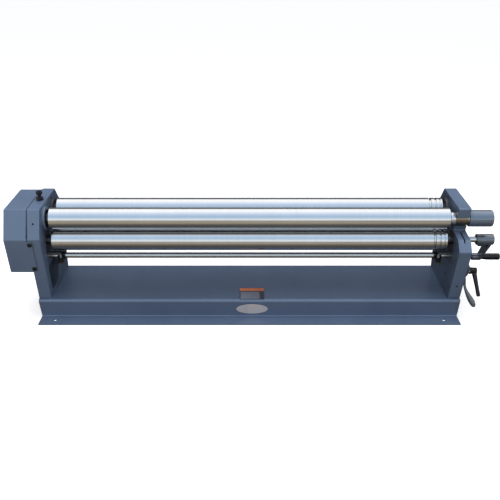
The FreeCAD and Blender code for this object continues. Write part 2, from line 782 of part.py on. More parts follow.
# Bearing blocks.
def make_lower_blocks():
    x0 = half_gap + block_side_gap
    x1 = half_span - block_side_gap
    half = block_width / 2
    low = lower_z - lower_block_below
    high = lower_z + lower_block_above
    places = ((-half, low), (-half, high), (half, high), (half, low))
    body = side_profile([(lower_y + y, z, block_corner_round) for y, z in places], x0, x1)
    lug_end = half_gap - lug_length
    lug_root = half_gap - block_side_gap
    rear = lower_y - lug_rear
    roof = low + lug_thickness
    lug = block(lug_end, lug_root, lower_y - lug_front, rear, low, roof)
    neck = block(lug_root, x0, lower_y - half + block_corner_round, rear, low, roof)
    body = body.fuse(neck).fuse(lug).removeSplitter()
    bush_radius = journal_radius + bush_wall
    body = body.cut(cyl_x(x0 - through, x1 + through, lower_y, lower_z, bush_radius))
    bush = tube_x(x0, x1, lower_y, lower_z, bush_radius, journal_radius + running_gap)
    parts["right_lower_block"] = body
    parts["left_lower_block"] = mirrored(body)
    parts["right_lower_bush"] = bush
    parts["left_lower_bush"] = mirrored(bush)


def make_rear_blocks():
    x0 = half_gap + block_side_gap
    x1 = half_span - block_side_gap
    half = block_width / 2
    face = half_gap - block_clearance
    inner = face - rear_flange_thickness
    body = guide_profile(-half, half, half, block_corner_round, x0, x1)
    flange = bevel(cyl_x(inner, face, rear_y, rear_z, rear_flange_radius), (inner,),
                   block_corner_round)
    neck = cyl_x(face, x0, rear_y, rear_z, half - block_side_gap)
    bush_radius = journal_radius + bush_wall
    body = body.fuse(neck).fuse(flange)
    body = body.cut(cyl_x(inner - through, x1 + through, rear_y, rear_z, bush_radius))
    deep = half - screw_neck_length - screw_collar_length - screw_collar_gap
    socket = screw_axis_bore(screw_collar_radius + screw_collar_gap, deep,
                             half - screw_neck_length + screw_collar_gap)
    mouth = screw_axis_bore(screw_neck_radius + screw_collar_gap, deep, half + through)
    bush = tube_x(inner, x1, rear_y, rear_z, bush_radius, journal_radius + running_gap)
    parts["right_rear_block"] = body.cut(socket).cut(mouth)
    parts["left_rear_block"] = mirrored(parts["right_rear_block"])
    parts["right_rear_bush"] = bush
    parts["left_rear_bush"] = mirrored(bush)


def make_rear_screws():
    """Screw held in the block by its collar, threaded through the frame's boss, knob behind."""
    neck_end = block_width / 2 + screw_collar_gap
    collar_end = block_width / 2 - screw_neck_length
    collar_start = collar_end - screw_collar_length
    knob_start = screw_boss_end + rear_travel_up + rear_knob_gap
    shank_end = knob_start + rear_knob_length - rear_knob_cap
    y, z = along_slide(0)
    centre = V(mid_frame, y, z)
    bore = screw_axis_bore(screw_radius, knob_start - through, shank_end)
    screw = lathe_on(centre, slide_down, [
        (collar_start, screw_collar_radius), (collar_end, screw_collar_radius),
        (collar_end, screw_neck_radius), (neck_end, screw_neck_radius),
        (neck_end, screw_radius), (shank_end, screw_radius)])
    knob_end = knob_start + rear_knob_length
    edge = rear_knob_radius - roll_chamfer
    knob = lathe_on(centre, slide_down, [
        (knob_start, edge), (knob_start + roll_chamfer, rear_knob_radius),
        (knob_end - roll_chamfer, rear_knob_radius), (knob_end, edge)])
    flute = screw_axis_bore(rear_knob_flute_radius, knob_start - through, knob_end + through)
    for i in range(rear_knob_flutes):
        turn = FreeCAD.Rotation(slide_down, 360 * i / rear_knob_flutes)
        cutter = flute.copy()
        cutter.translate(turn.multVec(along_x) * rear_knob_flute_out)
        knob = knob.cut(cutter)
    parts["right_rear_screw"] = screw
    parts["left_rear_screw"] = mirrored(screw)
    parts["right_rear_knob"] = knob.cut(bore)
    parts["left_rear_knob"] = mirrored(parts["right_rear_knob"])


# Gear cover.
def cover_outline(inset):
    """Outer profile of the gear cover; inset moves every face inwards."""
    lap = cover_lap_thickness + cover_seam
    low = lower_z - cover_below
    back = top_y + cover_back
    slack = inset * math.tan(math.radians(22.5))       # inset along a face past a 45 degree corner
    return [(front_face_at(low) - lap + inset, low + inset, cover_corner_round),
            (left_nose[0] - lap + inset, left_nose[1] + slack, cover_corner_round),
            (top_y - nose_top_reach + slack, frame_top - inset, cover_corner_round),
            (back - cover_slope_depth - slack, frame_top - inset, cover_corner_round),
            (back - inset, frame_top - cover_slope_depth - slack, cover_corner_round),
            (back - inset, low + inset, cover_corner_round)]


def cover_face():
    """Unit vectors of the left frame's lower front face: down along it, and outwards."""
    along = V(0, frame_front - left_nose[0], base_height - left_nose[1]).normalize()
    return along, V(0, along.z, -along.y)


def cover_screw_places():
    """(place, outward normal) of each cover screw on that face, right-hand position."""
    along, outward = cover_face()
    corner = V(half_span - cover_lap / 2, left_nose[0], left_nose[1])
    return [(corner + along * drop, outward) for drop in cover_screw_drops]


def make_gear_cover():
    x0 = half_span + cover_seam
    x1 = half_span + cover_width
    outer = soften(side_profile(cover_outline(0.0), x0, x1), (x1,), cover_edge_round)
    cover = outer.cut(side_profile(cover_outline(cover_wall), x0 - through, x1 - cover_wall))
    along, outward = cover_face()
    corner = V(half_span - cover_lap, left_nose[0], left_nose[1]) + outward * cover_seam
    top = corner + along * cover_lap_end
    low = corner + along * (cover_screw_drops[-1] + 2 * cover_lap_end)
    out = outward * cover_lap_thickness
    lap = Part.Face(Part.makePolygon([top, low, low + out, top + out, top]))
    cover = cover.fuse(lap.extrude(along_x * (cover_lap + cover_seam + cover_wall)))
    reach = cover_seam + cover_lap_thickness
    screws = []
    for place, way in cover_screw_places():
        cover = cover.cut(Part.makeCylinder(cover_screw_radius, reach + through, place, way))
        seat = place + way * reach
        shank = Part.makeCylinder(cover_screw_radius, cover_screw_length, seat - way * cover_screw_length,
                                  way)
        head = lathe_on(seat, way, [(0, cover_screw_head_radius),
                                    (cover_screw_head / 3, cover_screw_head_radius),
                                    (cover_screw_head, cover_screw_head_radius * 0.6)])
        screws.append(mirrored(shank.fuse(head)))
    parts["gear_cover"] = mirrored(cover)
    parts["cover_screws"] = Part.makeCompound(screws)


# Screw with a jam nut on the left frame.
def make_lock_screw():
    base = V(-mid_frame, top_y + lock_screw_back, frame_top)
    start = base - upright * lock_screw_depth
    neck = lock_screw_depth + lock_screw_stand
    parts["lock_screw"] = lathe_on(start, upright, [
        (0, lock_screw_radius), (neck, lock_screw_radius), (neck, lock_screw_head_radius),
        (neck + lock_screw_head - 1, lock_screw_head_radius),
        (neck + lock_screw_head, lock_screw_head_radius - 1)])
    nut = hex_prism(base, upright, lock_nut_flats, lock_nut_height)
    parts["lock_screw_nut"] = nut.cut(Part.makeCylinder(lock_screw_radius, lock_nut_height, base))


# Lift shaft.
def lever_pin():
    """Pin through the lever's hub and the shaft."""
    x = half_span + lever_gap + (lever_plate + lever_hub_length) / 2
    low = V(x, shaft_y, shaft_z - lever_hub_radius)
    return Part.makeCylinder(cross_pin_radius, 2 * lever_hub_radius, low)


def make_lift_shaft():
    """Shaft in its two bushes, with an arm and an adjusting bolt under each lower block's lug."""
    lever_end = half_span + lever_gap + lever_hub_length
    shaft = cyl_x(-half_span + lift_shaft_recess, lever_end - lift_shaft_recess, shaft_y, shaft_z,
                  lift_shaft_radius)
    bush = tube_x(half_gap, half_span, shaft_y, shaft_z, lift_shaft_radius + shaft_bush_wall,
                  lift_shaft_radius + running_gap)
    parts["right_shaft_bush"] = bush
    parts["left_shaft_bush"] = mirrored(bush)

    x = half_gap - lift_arm_inset
    bolt_y = shaft_y - lift_arm_reach
    half_height = lift_arm_height / 2
    low = shaft_z - half_height
    collar = cyl_x(x - lift_collar_width / 2, x + lift_collar_width / 2, shaft_y, shaft_z,
                   lift_collar_radius)
    arm = block(x - lift_arm_width / 2, x + lift_arm_width / 2, bolt_y, shaft_y, low,
                shaft_z + half_height)
    eye = Part.makeCylinder(lift_arm_width / 2, lift_arm_height, V(x, bolt_y, low))
    arm = collar.fuse(arm).fuse(eye)
    arm = arm.cut(cyl_x(x - lift_collar_width, x + lift_collar_width, shaft_y, shaft_z,
                        lift_shaft_radius))
    arm = arm.cut(Part.makeCylinder(lift_bolt_radius, lift_arm_height, V(x, bolt_y, low)))
    pin = Part.makeCylinder(cross_pin_radius, 2 * lift_collar_radius,
                            V(x, shaft_y, shaft_z - lift_collar_radius))

    half = math.radians(lift_half_angle)
    lug_low = lower_z - lower_block_below
    tip_edge = lift_bolt_radius - lift_bolt_tip
    contact = lug_low - lift_bolt_gap - tip_edge * math.sin(half)
    tip = (contact - shaft_z + lift_arm_reach * math.sin(half)) / math.cos(half)
    seat = low - lift_nut_height
    start = V(x, bolt_y, seat - lift_bolt_head)
    shank_end = shaft_z + tip - start.z
    bolt = lathe_on(start, upright, [(0, lift_bolt_radius), (shank_end - lift_bolt_tip, lift_bolt_radius),
                                     (shank_end, tip_edge)])
    bolt = bolt.fuse(hex_prism(start, upright, lift_bolt_flats, lift_bolt_head))
    nut = hex_prism(V(x, bolt_y, seat), upright, lift_bolt_flats, lift_nut_height)
    nut = nut.cut(Part.makeCylinder(lift_bolt_radius, lift_nut_height, V(x, bolt_y, seat)))
    pieces = (("lift_arm", arm.cut(pin)), ("lift_bolt", bolt), ("lift_bolt_nut", nut),
              ("lift_arm_pin", pin))
    for name, shape in pieces:
        placed = turned(shape, shaft_y, shaft_z, lift_half_angle)
        parts["right_" + name] = placed
        parts["left_" + name] = mirrored(placed)
    for pin in (parts["right_lift_arm_pin"], parts["left_lift_arm_pin"], lever_pin()):
        shaft = shaft.cut(pin)
    parts["lift_shaft"] = shaft


# Lift lever.
def polar(radius, degrees, x):
    """Place at a radius and direction from the lift shaft's axis."""
    angle = math.radians(degrees)
    return V(x, shaft_y + radius * math.cos(angle), shaft_z + radius * math.sin(angle))


def arc_about_shaft(radius, start, end, x):
    middle = (start + end) / 2
    return Part.Arc(polar(radius, start, x), polar(radius, middle, x), polar(radius, end, x)).toShape()


def sector_slot(first, last, x0, x1):
    """Round-ended slot on the sector's centre line, between two directions."""
    half = stud_radius + stud_clearance
    outer = sector_radius + half
    inner = sector_radius - half
    ends = [Part.LineSegment(polar(outer, last, x0), polar(inner, last, x0)).toShape(),
            Part.LineSegment(polar(inner, first, x0), polar(outer, first, x0)).toShape()]
    wire = Part.Wire([arc_about_shaft(outer, first, last, x0), ends[0],
                      arc_about_shaft(inner, last, first, x0), ends[1]])
    slot = Part.Face(wire).extrude(along_x * (x1 - x0))
    for direction in (first, last):
        slot = slot.fuse(Part.makeCylinder(half, x1 - x0, polar(sector_radius, direction, x0), along_x))
    return slot


def make_lift_lever():
    """Lever on the end of the lift shaft: hub, slotted clamp sector and flared paddle."""
    x0 = half_span + lever_gap
    hub_end = x0 + lever_hub_length
    hub = soften(cyl_x(x0, hub_end, shaft_y, shaft_z, lever_hub_radius), (hub_end,), lever_hub_round)
    first = clamp_direction - slot_slack
    last = clamp_direction + 2 * lift_half_angle + slot_slack
    margin = math.degrees(2 * sector_margin / sector_radius)
    outer = sector_radius + sector_margin
    centre = V(x0, shaft_y, shaft_z)
    start = polar(outer, first - margin, x0)
    end = polar(outer, last + margin, x0)
    ring = Part.Wire([Part.LineSegment(centre, start).toShape(),
                      arc_about_shaft(outer, first - margin, last + margin, x0),
                      Part.LineSegment(end, centre).toShape()])
    plate = Part.Face(ring).extrude(along_x * lever_plate)

    along = V(0, math.cos(math.radians(lever_direction)), math.sin(math.radians(lever_direction)))
    across = along_x.cross(along)
    sections = []
    for share, flare, wide, thick in lever_sections:
        place = polar(lever_length * share, lever_direction, x0 + lever_plate / 2 + lever_flare * flare)
        sections.append(rounded_section(place, across, wide, along_x, thick))
    lever = hub.fuse(plate).fuse(Part.makeLoft(sections, True, True))
    lever = lever.cut(sector_slot(first, last, x0 - through, x0 + lever_plate + through))
    lever = lever.cut(cyl_x(x0 - through, hub_end - lift_shaft_recess, shaft_y, shaft_z,
                            lift_shaft_radius))
    parts["lift_lever_pin"] = lever_pin()
    parts["lift_lever"] = lever.cut(lever_pin())


def make_clamp():
    """Ratchet clamp: stud in the frame, washer on the sector, lever on the stud's teeth."""
    washer_start = half_span + lever_gap + lever_plate + clamp_washer_gap
    washer_end = washer_start + clamp_washer_thickness
    hub_start = washer_end + clamp_washer_gap
    hub_end = hub_start + clamp_hub_length
    tooth_start = hub_start + clamp_tooth_start
    tooth_top = stud_z + stud_radius + clamp_tooth_rise
    stud = cyl_x(half_span - stud_depth, tooth_start + clamp_tooth_length, stud_y, stud_z, stud_radius)
    half = clamp_tooth_width / 2
    tooth = block(tooth_start, tooth_start + clamp_tooth_length, stud_y - half, stud_y + half,
                  stud_z, tooth_top)
    for i in range(clamp_teeth):
        stud = stud.fuse(turned(tooth, stud_y, stud_z, 360 * i / clamp_teeth))
    parts["clamp_stud"] = stud
    parts["clamp_washer"] = tube_x(washer_start, washer_end, stud_y, stud_z, clamp_washer_radius,
                                   stud_radius)
    hub = soften(cyl_x(hub_start, hub_end, stud_y, stud_z, clamp_hub_radius), (hub_end,),
                 clamp_hub_round)
    down = V(clamp_lever_out, -clamp_lever_forward, -clamp_lever_length).normalize()
    side = V(0, -down.z, down.y).normalize()
    flat = down.cross(side)
    root = V(hub_end - clamp_lever_root, stud_y, stud_z)
    sections = []
    for share, wide, thick in clamp_sections:
        place = root + down * (clamp_lever_length * share)
        sections.append(rounded_section(place, side, wide, flat, thick))
    lever = hub.fuse(Part.makeLoft(sections, True, True))
    bore = cyl_x(hub_start - through, hub_end - clamp_cap, stud_y, stud_z,
                 stud_radius + clamp_tooth_rise + stud_clearance)
    parts["clamp_lever"] = lever.cut(bore)


# Crank.
def crank_set_screw():
    """Screw through the crank's hub that bites into the shaft."""
    low = V(half_span + crank_hub_start + set_screw_inset, lower_y,
            lower_z + crank_shaft_radius - set_screw_bite)
    return Part.makeCylinder(set_screw_radius, crank_hub_radius - crank_shaft_radius, low)


def crank_web():
    """Flat part of the arm: a bar that tapers from the hub to the grip's boss."""
    length = math.hypot(crank_back, crank_drop)
    along = V(0, crank_back / length, -crank_drop / length)
    side = along_x.cross(along)
    lean = (crank_hub_radius - crank_boss_radius) / length
    reach = math.sqrt(1 - lean ** 2)
    ends = ((V(arm_start, lower_y, lower_z), crank_hub_radius),
            (V(arm_start, grip_y, grip_z), crank_boss_radius))
    ring = [centre + (along * lean + side * reach) * radius for centre, radius in ends]
    ring += [centre + (along * lean - side * reach) * radius for centre, radius in reversed(ends)]
    return Part.Face(Part.makePolygon(ring + ring[:1])).extrude(along_x * crank_arm_thickness)


def crank_rib():
    """Thick root of the arm, short enough to pass under the top roll's knob."""
    x0 = half_span + crank_hub_start + crank_rib_inset
    half = crank_rib_width / 2
    corners = [(x0, 0.0, 0.0), (x0, crank_rib_reach, crank_rib_round),
               (arm_start, crank_rib_reach, crank_rib_round),
               (arm_start, crank_rib_reach + 2 * crank_rib_round, 0.0),
               (arm_end, crank_rib_reach + 2 * crank_rib_round, 0.0), (arm_end, 0.0, 0.0)]
    wire = corner_wire([(V(x, -half, -reach), radius) for x, reach, radius in corners])
    rib = Part.Face(wire).extrude(V(0, crank_rib_width, 0))
    rib.translate(V(0, lower_y, lower_z))
    return turned(rib, lower_y, lower_z, math.degrees(math.atan2(crank_back, crank_drop)))


def make_crank():
    x0 = half_span + crank_hub_start
    x1 = crank_hub_end
    hub = soften(cyl_x(x0, x1, lower_y, lower_z, crank_hub_radius), (x0, x1), crank_hub_round)
    boss_end = arm_end
    boss_start = boss_end - crank_boss_length
    boss = soften(cyl_x(boss_start, boss_end, grip_y, grip_z, crank_boss_radius), (boss_start, boss_end),
                  crank_arm_round)
    arm = crank_web().fuse(hub).fuse(boss).fuse(crank_rib())
    arm = arm.cut(cyl_x(x0 - through, x1 - crank_hub_cap, lower_y, lower_z, crank_shaft_radius))
    arm = arm.cut(cyl_x(boss_start - through, boss_end + through, grip_y, grip_z, spindle_radius))
    screw = crank_set_screw()
    parts["crank_set_screw"] = screw
    parts["crank_arm"] = arm.cut(screw)

    grip_start = boss_end + grip_gap
    grip_end = grip_start + grip_length
    well = grip_end - grip_recess
    head_end = well + spindle_head
    spindle = cyl_x(boss_start, head_end, grip_y, grip_z, spindle_radius)
    parts["grip_spindle"] = spindle.fuse(cyl_x(well + grip_recess_margin, head_end, grip_y, grip_z,
                                               spindle_head_radius))
    grip = lathe_x([(grip_start, grip_radius * 0.8), (grip_start + grip_length * 0.25, grip_radius),
                    (grip_end - grip_length * 0.16, grip_radius),
                    (grip_end - grip_length * 0.04, grip_radius * 0.9), (grip_end, grip_radius * 0.72)],
                   grip_y, grip_z)
    grip = grip.cut(cyl_x(grip_start - through, well, grip_y, grip_z, spindle_radius + running_gap))
    parts["crank_grip"] = grip.cut(cyl_x(well, grip_end + through, grip_y, grip_z,
                                         spindle_head_radius + grip_recess_margin))


make_base()
make_frame_bolts()
make_left_frame()
make_right_frame()
make_top_roll()
make_lower_roll()
make_rear_roll()
make_drive_gears()
make_lower_blocks()
make_rear_blocks()
make_rear_screws()
make_gear_cover()
make_lock_screw()
make_lift_shaft()
make_lift_lever()
make_clamp()
make_crank()

os.makedirs("parts", exist_ok=True)
for name, shape in parts.items():
    shape.exportStep("parts/" + name + ".step")
    print(f"{name:24s} solids {len(shape.Solids)} valid {shape.isValid()} {shape.Volume / 1000:9.1f} cm3")
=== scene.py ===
import json
import math

import bmesh
import bpy
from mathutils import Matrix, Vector


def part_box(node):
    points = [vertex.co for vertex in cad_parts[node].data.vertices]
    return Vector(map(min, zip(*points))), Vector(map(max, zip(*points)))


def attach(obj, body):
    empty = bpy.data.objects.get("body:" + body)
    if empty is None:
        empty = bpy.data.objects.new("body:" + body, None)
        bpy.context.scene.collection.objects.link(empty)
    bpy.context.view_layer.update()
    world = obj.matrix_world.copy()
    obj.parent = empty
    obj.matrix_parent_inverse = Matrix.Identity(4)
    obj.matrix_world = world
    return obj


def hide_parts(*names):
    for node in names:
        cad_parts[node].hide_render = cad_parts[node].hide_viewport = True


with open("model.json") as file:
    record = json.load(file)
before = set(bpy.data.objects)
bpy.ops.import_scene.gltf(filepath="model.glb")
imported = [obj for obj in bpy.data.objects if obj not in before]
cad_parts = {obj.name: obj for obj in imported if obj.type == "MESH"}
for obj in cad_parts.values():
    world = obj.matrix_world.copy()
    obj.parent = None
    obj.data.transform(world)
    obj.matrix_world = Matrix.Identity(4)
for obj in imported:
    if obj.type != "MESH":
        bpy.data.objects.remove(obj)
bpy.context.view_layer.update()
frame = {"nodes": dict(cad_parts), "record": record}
nodes = frame["nodes"]
mm = 0.001
print("frame loaded:", len(nodes), "nodes")

alongX = Vector((1, 0, 0))
upright = Vector((0, 0, 1))


# places read from the frame
def boxOf(node):
    low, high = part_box(node)
    return Vector(low), Vector(high)


def centreOf(node):
    low, high = boxOf(node)
    return (low + high) / 2


baseFront = boxOf("base_channel")[0].y
leftTop = boxOf("left_end_frame")[1].z
topRoll = centreOf("top_roll_right_bush")
rearRoll = centreOf("right_rear_bush")
liftShaft = centreOf("lift_shaft")


# node groups shared by the finishes
def newGroup(name, inputs, outputs):
    group = bpy.data.node_groups.new(name, "ShaderNodeTree")
    for label, value in inputs.items():
        kind = "NodeSocketVector" if isinstance(value, tuple) else "NodeSocketFloat"
        group.interface.new_socket(name=label, in_out="INPUT", socket_type=kind).default_value = value
    for label in outputs:
        group.interface.new_socket(name=label, in_out="OUTPUT", socket_type="NodeSocketFloat")
    return group, group.nodes.new("NodeGroupInput"), group.nodes.new("NodeGroupOutput")


def addNode(tree, kind, **settings):
    node = tree.nodes.new(kind)
    for label, value in settings.items():
        setattr(node, label, value)
    return node


def feed(tree, socket, value):
    # a link from another node's output, or a constant
    if isinstance(value, (int, float, tuple)):
        socket.default_value = value
    else:
        tree.links.new(value, socket)


def mathNode(tree, operation, first, second=None, clamp=False):
    node = addNode(tree, "ShaderNodeMath", operation=operation, use_clamp=clamp)
    feed(tree, node.inputs[0], first)
    if second is not None:
        feed(tree, node.inputs[1], second)
    return node.outputs[0]


def vectorNode(tree, operation, first, second):
    node = addNode(tree, "ShaderNodeVectorMath", operation=operation)
    feed(tree, node.inputs[0], first)
    feed(tree, node.inputs[1], second)
    return node.outputs["Value" if operation == "DOT_PRODUCT" else "Vector"]


def partsOf(tree, vector):
    node = addNode(tree, "ShaderNodeSeparateXYZ")
    tree.links.new(vector, node.inputs[0])
    return node.outputs


def objectPlace(tree):
    return addNode(tree, "ShaderNodeTexCoord").outputs["Object"]


def rampNode(tree, value, stops):
    node = addNode(tree, "ShaderNodeValToRGB")
    elements = node.color_ramp.elements
    for element, (position, colour) in zip(elements, (stops[0], stops[-1])):
        element.position, element.color = position, (*colour, 1.0)
    for position, colour in stops[1:-1]:
        elements.new(position).color = (*colour, 1.0)
    tree.links.new(value, node.inputs[0])
    return node.outputs[0]


def fade(tree, value, start, end, least=0.0):
    # from the least grey at the start to white at the end
    return rampNode(tree, value, [(start, (least,) * 3), (end, (1.0,) * 3)])


def noiseNode(tree, vector, scale, detail=4.0, roughness=0.55):
    node = addNode(tree, "ShaderNodeTexNoise")
    node.inputs["Detail"].default_value = detail
    node.inputs["Roughness"].default_value = roughness
    feed(tree, node.inputs["Scale"], scale)
    tree.links.new(vector, node.inputs["Vector"])
    return node.outputs["Fac"]


def sendMask(group, mask, entry, result):
    group.links.new(mathNode(group, "MULTIPLY", mask, entry.outputs["Amount"], clamp=True),
                    result.inputs["Mask"])


def makeEdgeWear():
    # mask of rubbed edges, where the rounded normal leaves the face's own, broken up by noise
    wear = {"gain": 7.0, "breaks": (0.42, 0.62)}
    group, entry, result = newGroup("edgeWear", {"Radius": 0.002, "Amount": 0.5, "Breakup": 60.0}, ["Mask"])
    bevel = addNode(group, "ShaderNodeBevel", samples=4)
    group.links.new(entry.outputs["Radius"], bevel.inputs["Radius"])
    faceNormal = addNode(group, "ShaderNodeNewGeometry").outputs["Normal"]
    alike = vectorNode(group, "DOT_PRODUCT", bevel.outputs["Normal"], faceNormal)
    away = mathNode(group, "SUBTRACT", 1.0, alike)
    edge = mathNode(group, "MULTIPLY", away, wear["gain"], clamp=True)
    patches = noiseNode(group, objectPlace(group), entry.outputs["Breakup"], detail=5.0)
    sendMask(group, mathNode(group, "MULTIPLY", edge, fade(group, patches, *wear["breaks"])), entry, result)
    return group


def makePaintGrain():
    # orange peel and the slow unevenness of sprayed enamel
    paint = {"finer": 12.0, "shades": (0.3, 0.7), "glosses": (0.35, 0.65)}
    group, entry, result = newGroup("paintGrain", {"Peel": 420.0, "Patches": 5.0},
                                    ["Height", "Shade", "Gloss"])
    place = objectPlace(group)
    peel = noiseNode(group, place, entry.outputs["Peel"], detail=2.0)
    slow = noiseNode(group, place, entry.outputs["Patches"], detail=5.0, roughness=0.6)
    fine = noiseNode(group, place, mathNode(group, "MULTIPLY", entry.outputs["Patches"], paint["finer"]))
    group.links.new(peel, result.inputs["Height"])
    group.links.new(fade(group, slow, *paint["shades"]), result.inputs["Shade"])
    group.links.new(fade(group, fine, *paint["glosses"]), result.inputs["Gloss"])
    return group


def makeTurnedGrain():
    # fine rings left by the lathe and the polishing belt, round an axis along X
    turned = {"stretch": (1.0, 0.04, 0.04), "share": 0.5, "shades": (0.35, 0.65)}
    group, entry, result = newGroup("turnedGrain", {"Rings": 900.0, "Smears": 6.0}, ["Height", "Shade"])
    stretch = addNode(group, "ShaderNodeMapping")
    stretch.inputs["Scale"].default_value = turned["stretch"]
    group.links.new(objectPlace(group), stretch.inputs["Vector"])
    along = stretch.outputs["Vector"]
    rings = noiseNode(group, along, entry.outputs["Rings"], detail=6.0, roughness=0.7)
    smears = noiseNode(group, along, entry.outputs["Smears"], detail=6.0, roughness=0.65)
    group.links.new(rings, result.inputs["Height"])
    shade = mathNode(group, "ADD", mathNode(group, "MULTIPLY", rings, turned["share"]),
                     mathNode(group, "MULTIPLY", smears, turned["share"]))
    group.links.new(fade(group, shade, *turned["shades"]), result.inputs["Shade"])
    return group


def makeDust():
    # thin dust on faces that look up, thicker in patches
    powder = {"narrow": 3.0, "patches": (0.35, 0.7, 0.15)}
    group, entry, result = newGroup("dust", {"Amount": 0.2, "Patches": 9.0}, ["Mask"])
    normal = addNode(group, "ShaderNodeNewGeometry").outputs["Normal"]
    upward = mathNode(group, "MAXIMUM", partsOf(group, normal)["Z"], 0.0)
    facing = mathNode(group, "POWER", upward, powder["narrow"])
    noise = noiseNode(group, objectPlace(group), entry.outputs["Patches"], detail=6.0, roughness=0.65)
    patches = fade(group, noise, *powder["patches"])
    sendMask(group, mathNode(group, "MULTIPLY", facing, patches), entry, result)
    return group


def makeHollowShade():
    # painted shade: colour darkened to near black in hollows and inner corners, found by ambient occlusion
    # and broken up by noise
    shadeNoise = {"patches": (0.3, 0.7, 0.7)}
    group, entry, result = newGroup("hollowShade", {"Reach": 0.05, "Amount": 0.5, "Patches": 9.0}, ["Mask"])
    hollow = addNode(group, "ShaderNodeAmbientOcclusion", samples=8)
    group.links.new(entry.outputs["Reach"], hollow.inputs["Distance"])
    shut = mathNode(group, "SUBTRACT", 1.0, hollow.outputs["AO"], clamp=True)
    noise = noiseNode(group, objectPlace(group), entry.outputs["Patches"], detail=6.0, roughness=0.6)
    patches = fade(group, noise, *shadeNoise["patches"])
    sendMask(group, mathNode(group, "MULTIPLY", shut, patches), entry, result)
    return group


def makeBoxShade():
    # painted shade on the surface that lies inside a box; on the roll journals it also stands for old oil
    group, entry, result = newGroup("boxShade", {"Low": (-1, -1, -1), "High": (1, 1, 1), "Amount": 0.5},
                                    ["Mask"])
    place = objectPlace(group)
    least = partsOf(group, vectorNode(group, "MINIMUM",
                                      vectorNode(group, "SUBTRACT", place, entry.outputs["Low"]),
                                      vectorNode(group, "SUBTRACT", entry.outputs["High"], place)))
    flat = mathNode(group, "MINIMUM", least["X"], least["Y"])
    inside = mathNode(group, "GREATER_THAN", mathNode(group, "MINIMUM", flat, least["Z"]), 0.0)
    sendMask(group, inside, entry, result)
    return group


edgeWear = makeEdgeWear()
paintGrain = makePaintGrain()
turnedGrain = makeTurnedGrain()
dust = makeDust()
hollowShade = makeHollowShade()
boxShade = makeBoxShade()
print("shared shader groups made")


def useGroup(tree, group, **values):
    node = addNode(tree, "ShaderNodeGroup", node_tree=group)
    for label, value in values.items():
        node.inputs[label].default_value = value
    return node.outputs


def mixColour(tree, mask, first, second):
    node = addNode(tree, "ShaderNodeMix", data_type="RGBA")
    tree.links.new(mask, node.inputs["Factor"])
    for label, value in (("A", first), ("B", second)):
        socket = [s for s in node.inputs if s.name == label and s.type == "RGBA"][0]
        feed(tree, socket, (*value, 1.0) if isinstance(value, tuple) else value)
    return [s for s in node.outputs if s.type == "RGBA"][0]


def spread(tree, value, limits):
    node = addNode(tree, "ShaderNodeMapRange")
    node.inputs["To Min"].default_value, node.inputs["To Max"].default_value = limits
    tree.links.new(value, node.inputs["Value"])
    return node.outputs["Result"]


bumpDistance = {"paint": 0.0004, "turned": 0.0002, "dark": 0.0003}


def addBump(tree, shader, height, look, kind):
    bump = addNode(tree, "ShaderNodeBump")
    bump.inputs["Strength"].default_value = look["bump"]
    bump.inputs["Distance"].default_value = bumpDistance[kind]
    tree.links.new(height, bump.inputs["Height"])
    if look.get("softEdge"):
        bevel = addNode(tree, "ShaderNodeBevel", samples=6)
        bevel.inputs["Radius"].default_value = look["softEdge"]
        tree.links.new(bevel.outputs["Normal"], bump.inputs["Normal"])
    tree.links.new(bump.outputs["Normal"], shader.inputs["Normal"])


def newMaterial(name):
    material = bpy.data.materials.new(name)
    material.use_nodes = True
    tree = material.node_tree
    return material, tree, tree.nodes["Principled BSDF"]


def wornPaint(tree, look):
    # the paint's grain and its colour with the edges rubbed
    grain = useGroup(tree, paintGrain, Peel=look["peel"], Patches=look["patches"])
    wear = useGroup(tree, edgeWear, Radius=look["edge"], Amount=look["wear"], Breakup=look["breakup"])
    body = mixColour(tree, grain["Shade"], look["dark"], look["light"])
    return grain, mixColour(tree, wear["Mask"], body, look["rubbed"])


def addBoxShade(tree, colour, look, box):
    paintedShade = useGroup(tree, boxShade, Low=box[0], High=box[1], Amount=look["paintedShade"])["Mask"]
    return paintedShade, mixColour(tree, paintedShade, colour, look["paintedShadeColour"])


def paintFinish(name, look):
    dusting = {"finer": 2, "dull": 0.5, "shadeFiner": 3}
    material, tree, shader = newMaterial(name)
    grain, colour = wornPaint(tree, look)
    dusty = useGroup(tree, dust, Amount=look["dust"], Patches=look["patches"] * dusting["finer"])["Mask"]
    # painted shade in hollows and inner corners, from the shared group
    shadedHollows = useGroup(tree, hollowShade, Reach=look["hollowShadeReach"], Amount=look["hollowShade"],
                     Patches=look["patches"] * dusting["shadeFiner"])["Mask"]
    colour = mixColour(tree, dusty, colour, look["dustColour"])
    colour = mixColour(tree, shadedHollows, colour, look["hollowShadeColour"])
    # painted shade inside the finish's box
    if "paintedShadeBox" in look:
        colour = addBoxShade(tree, colour, look, look["paintedShadeBox"])[1]
    tree.links.new(colour, shader.inputs["Base Color"])
    dull = mathNode(tree, "ADD", spread(tree, grain["Gloss"], look["gloss"]),
                    mathNode(tree, "MULTIPLY", dusty, dusting["dull"]), clamp=True)
    tree.links.new(dull, shader.inputs["Roughness"])
    shader.inputs["Specular IOR Level"].default_value = look["specular"]
    shader.inputs["Coat Weight"].default_value = look["coat"]
    shader.inputs["Coat Roughness"].default_value = look["coatGloss"]
    addBump(tree, shader, grain["Height"], look, "paint")
    return material


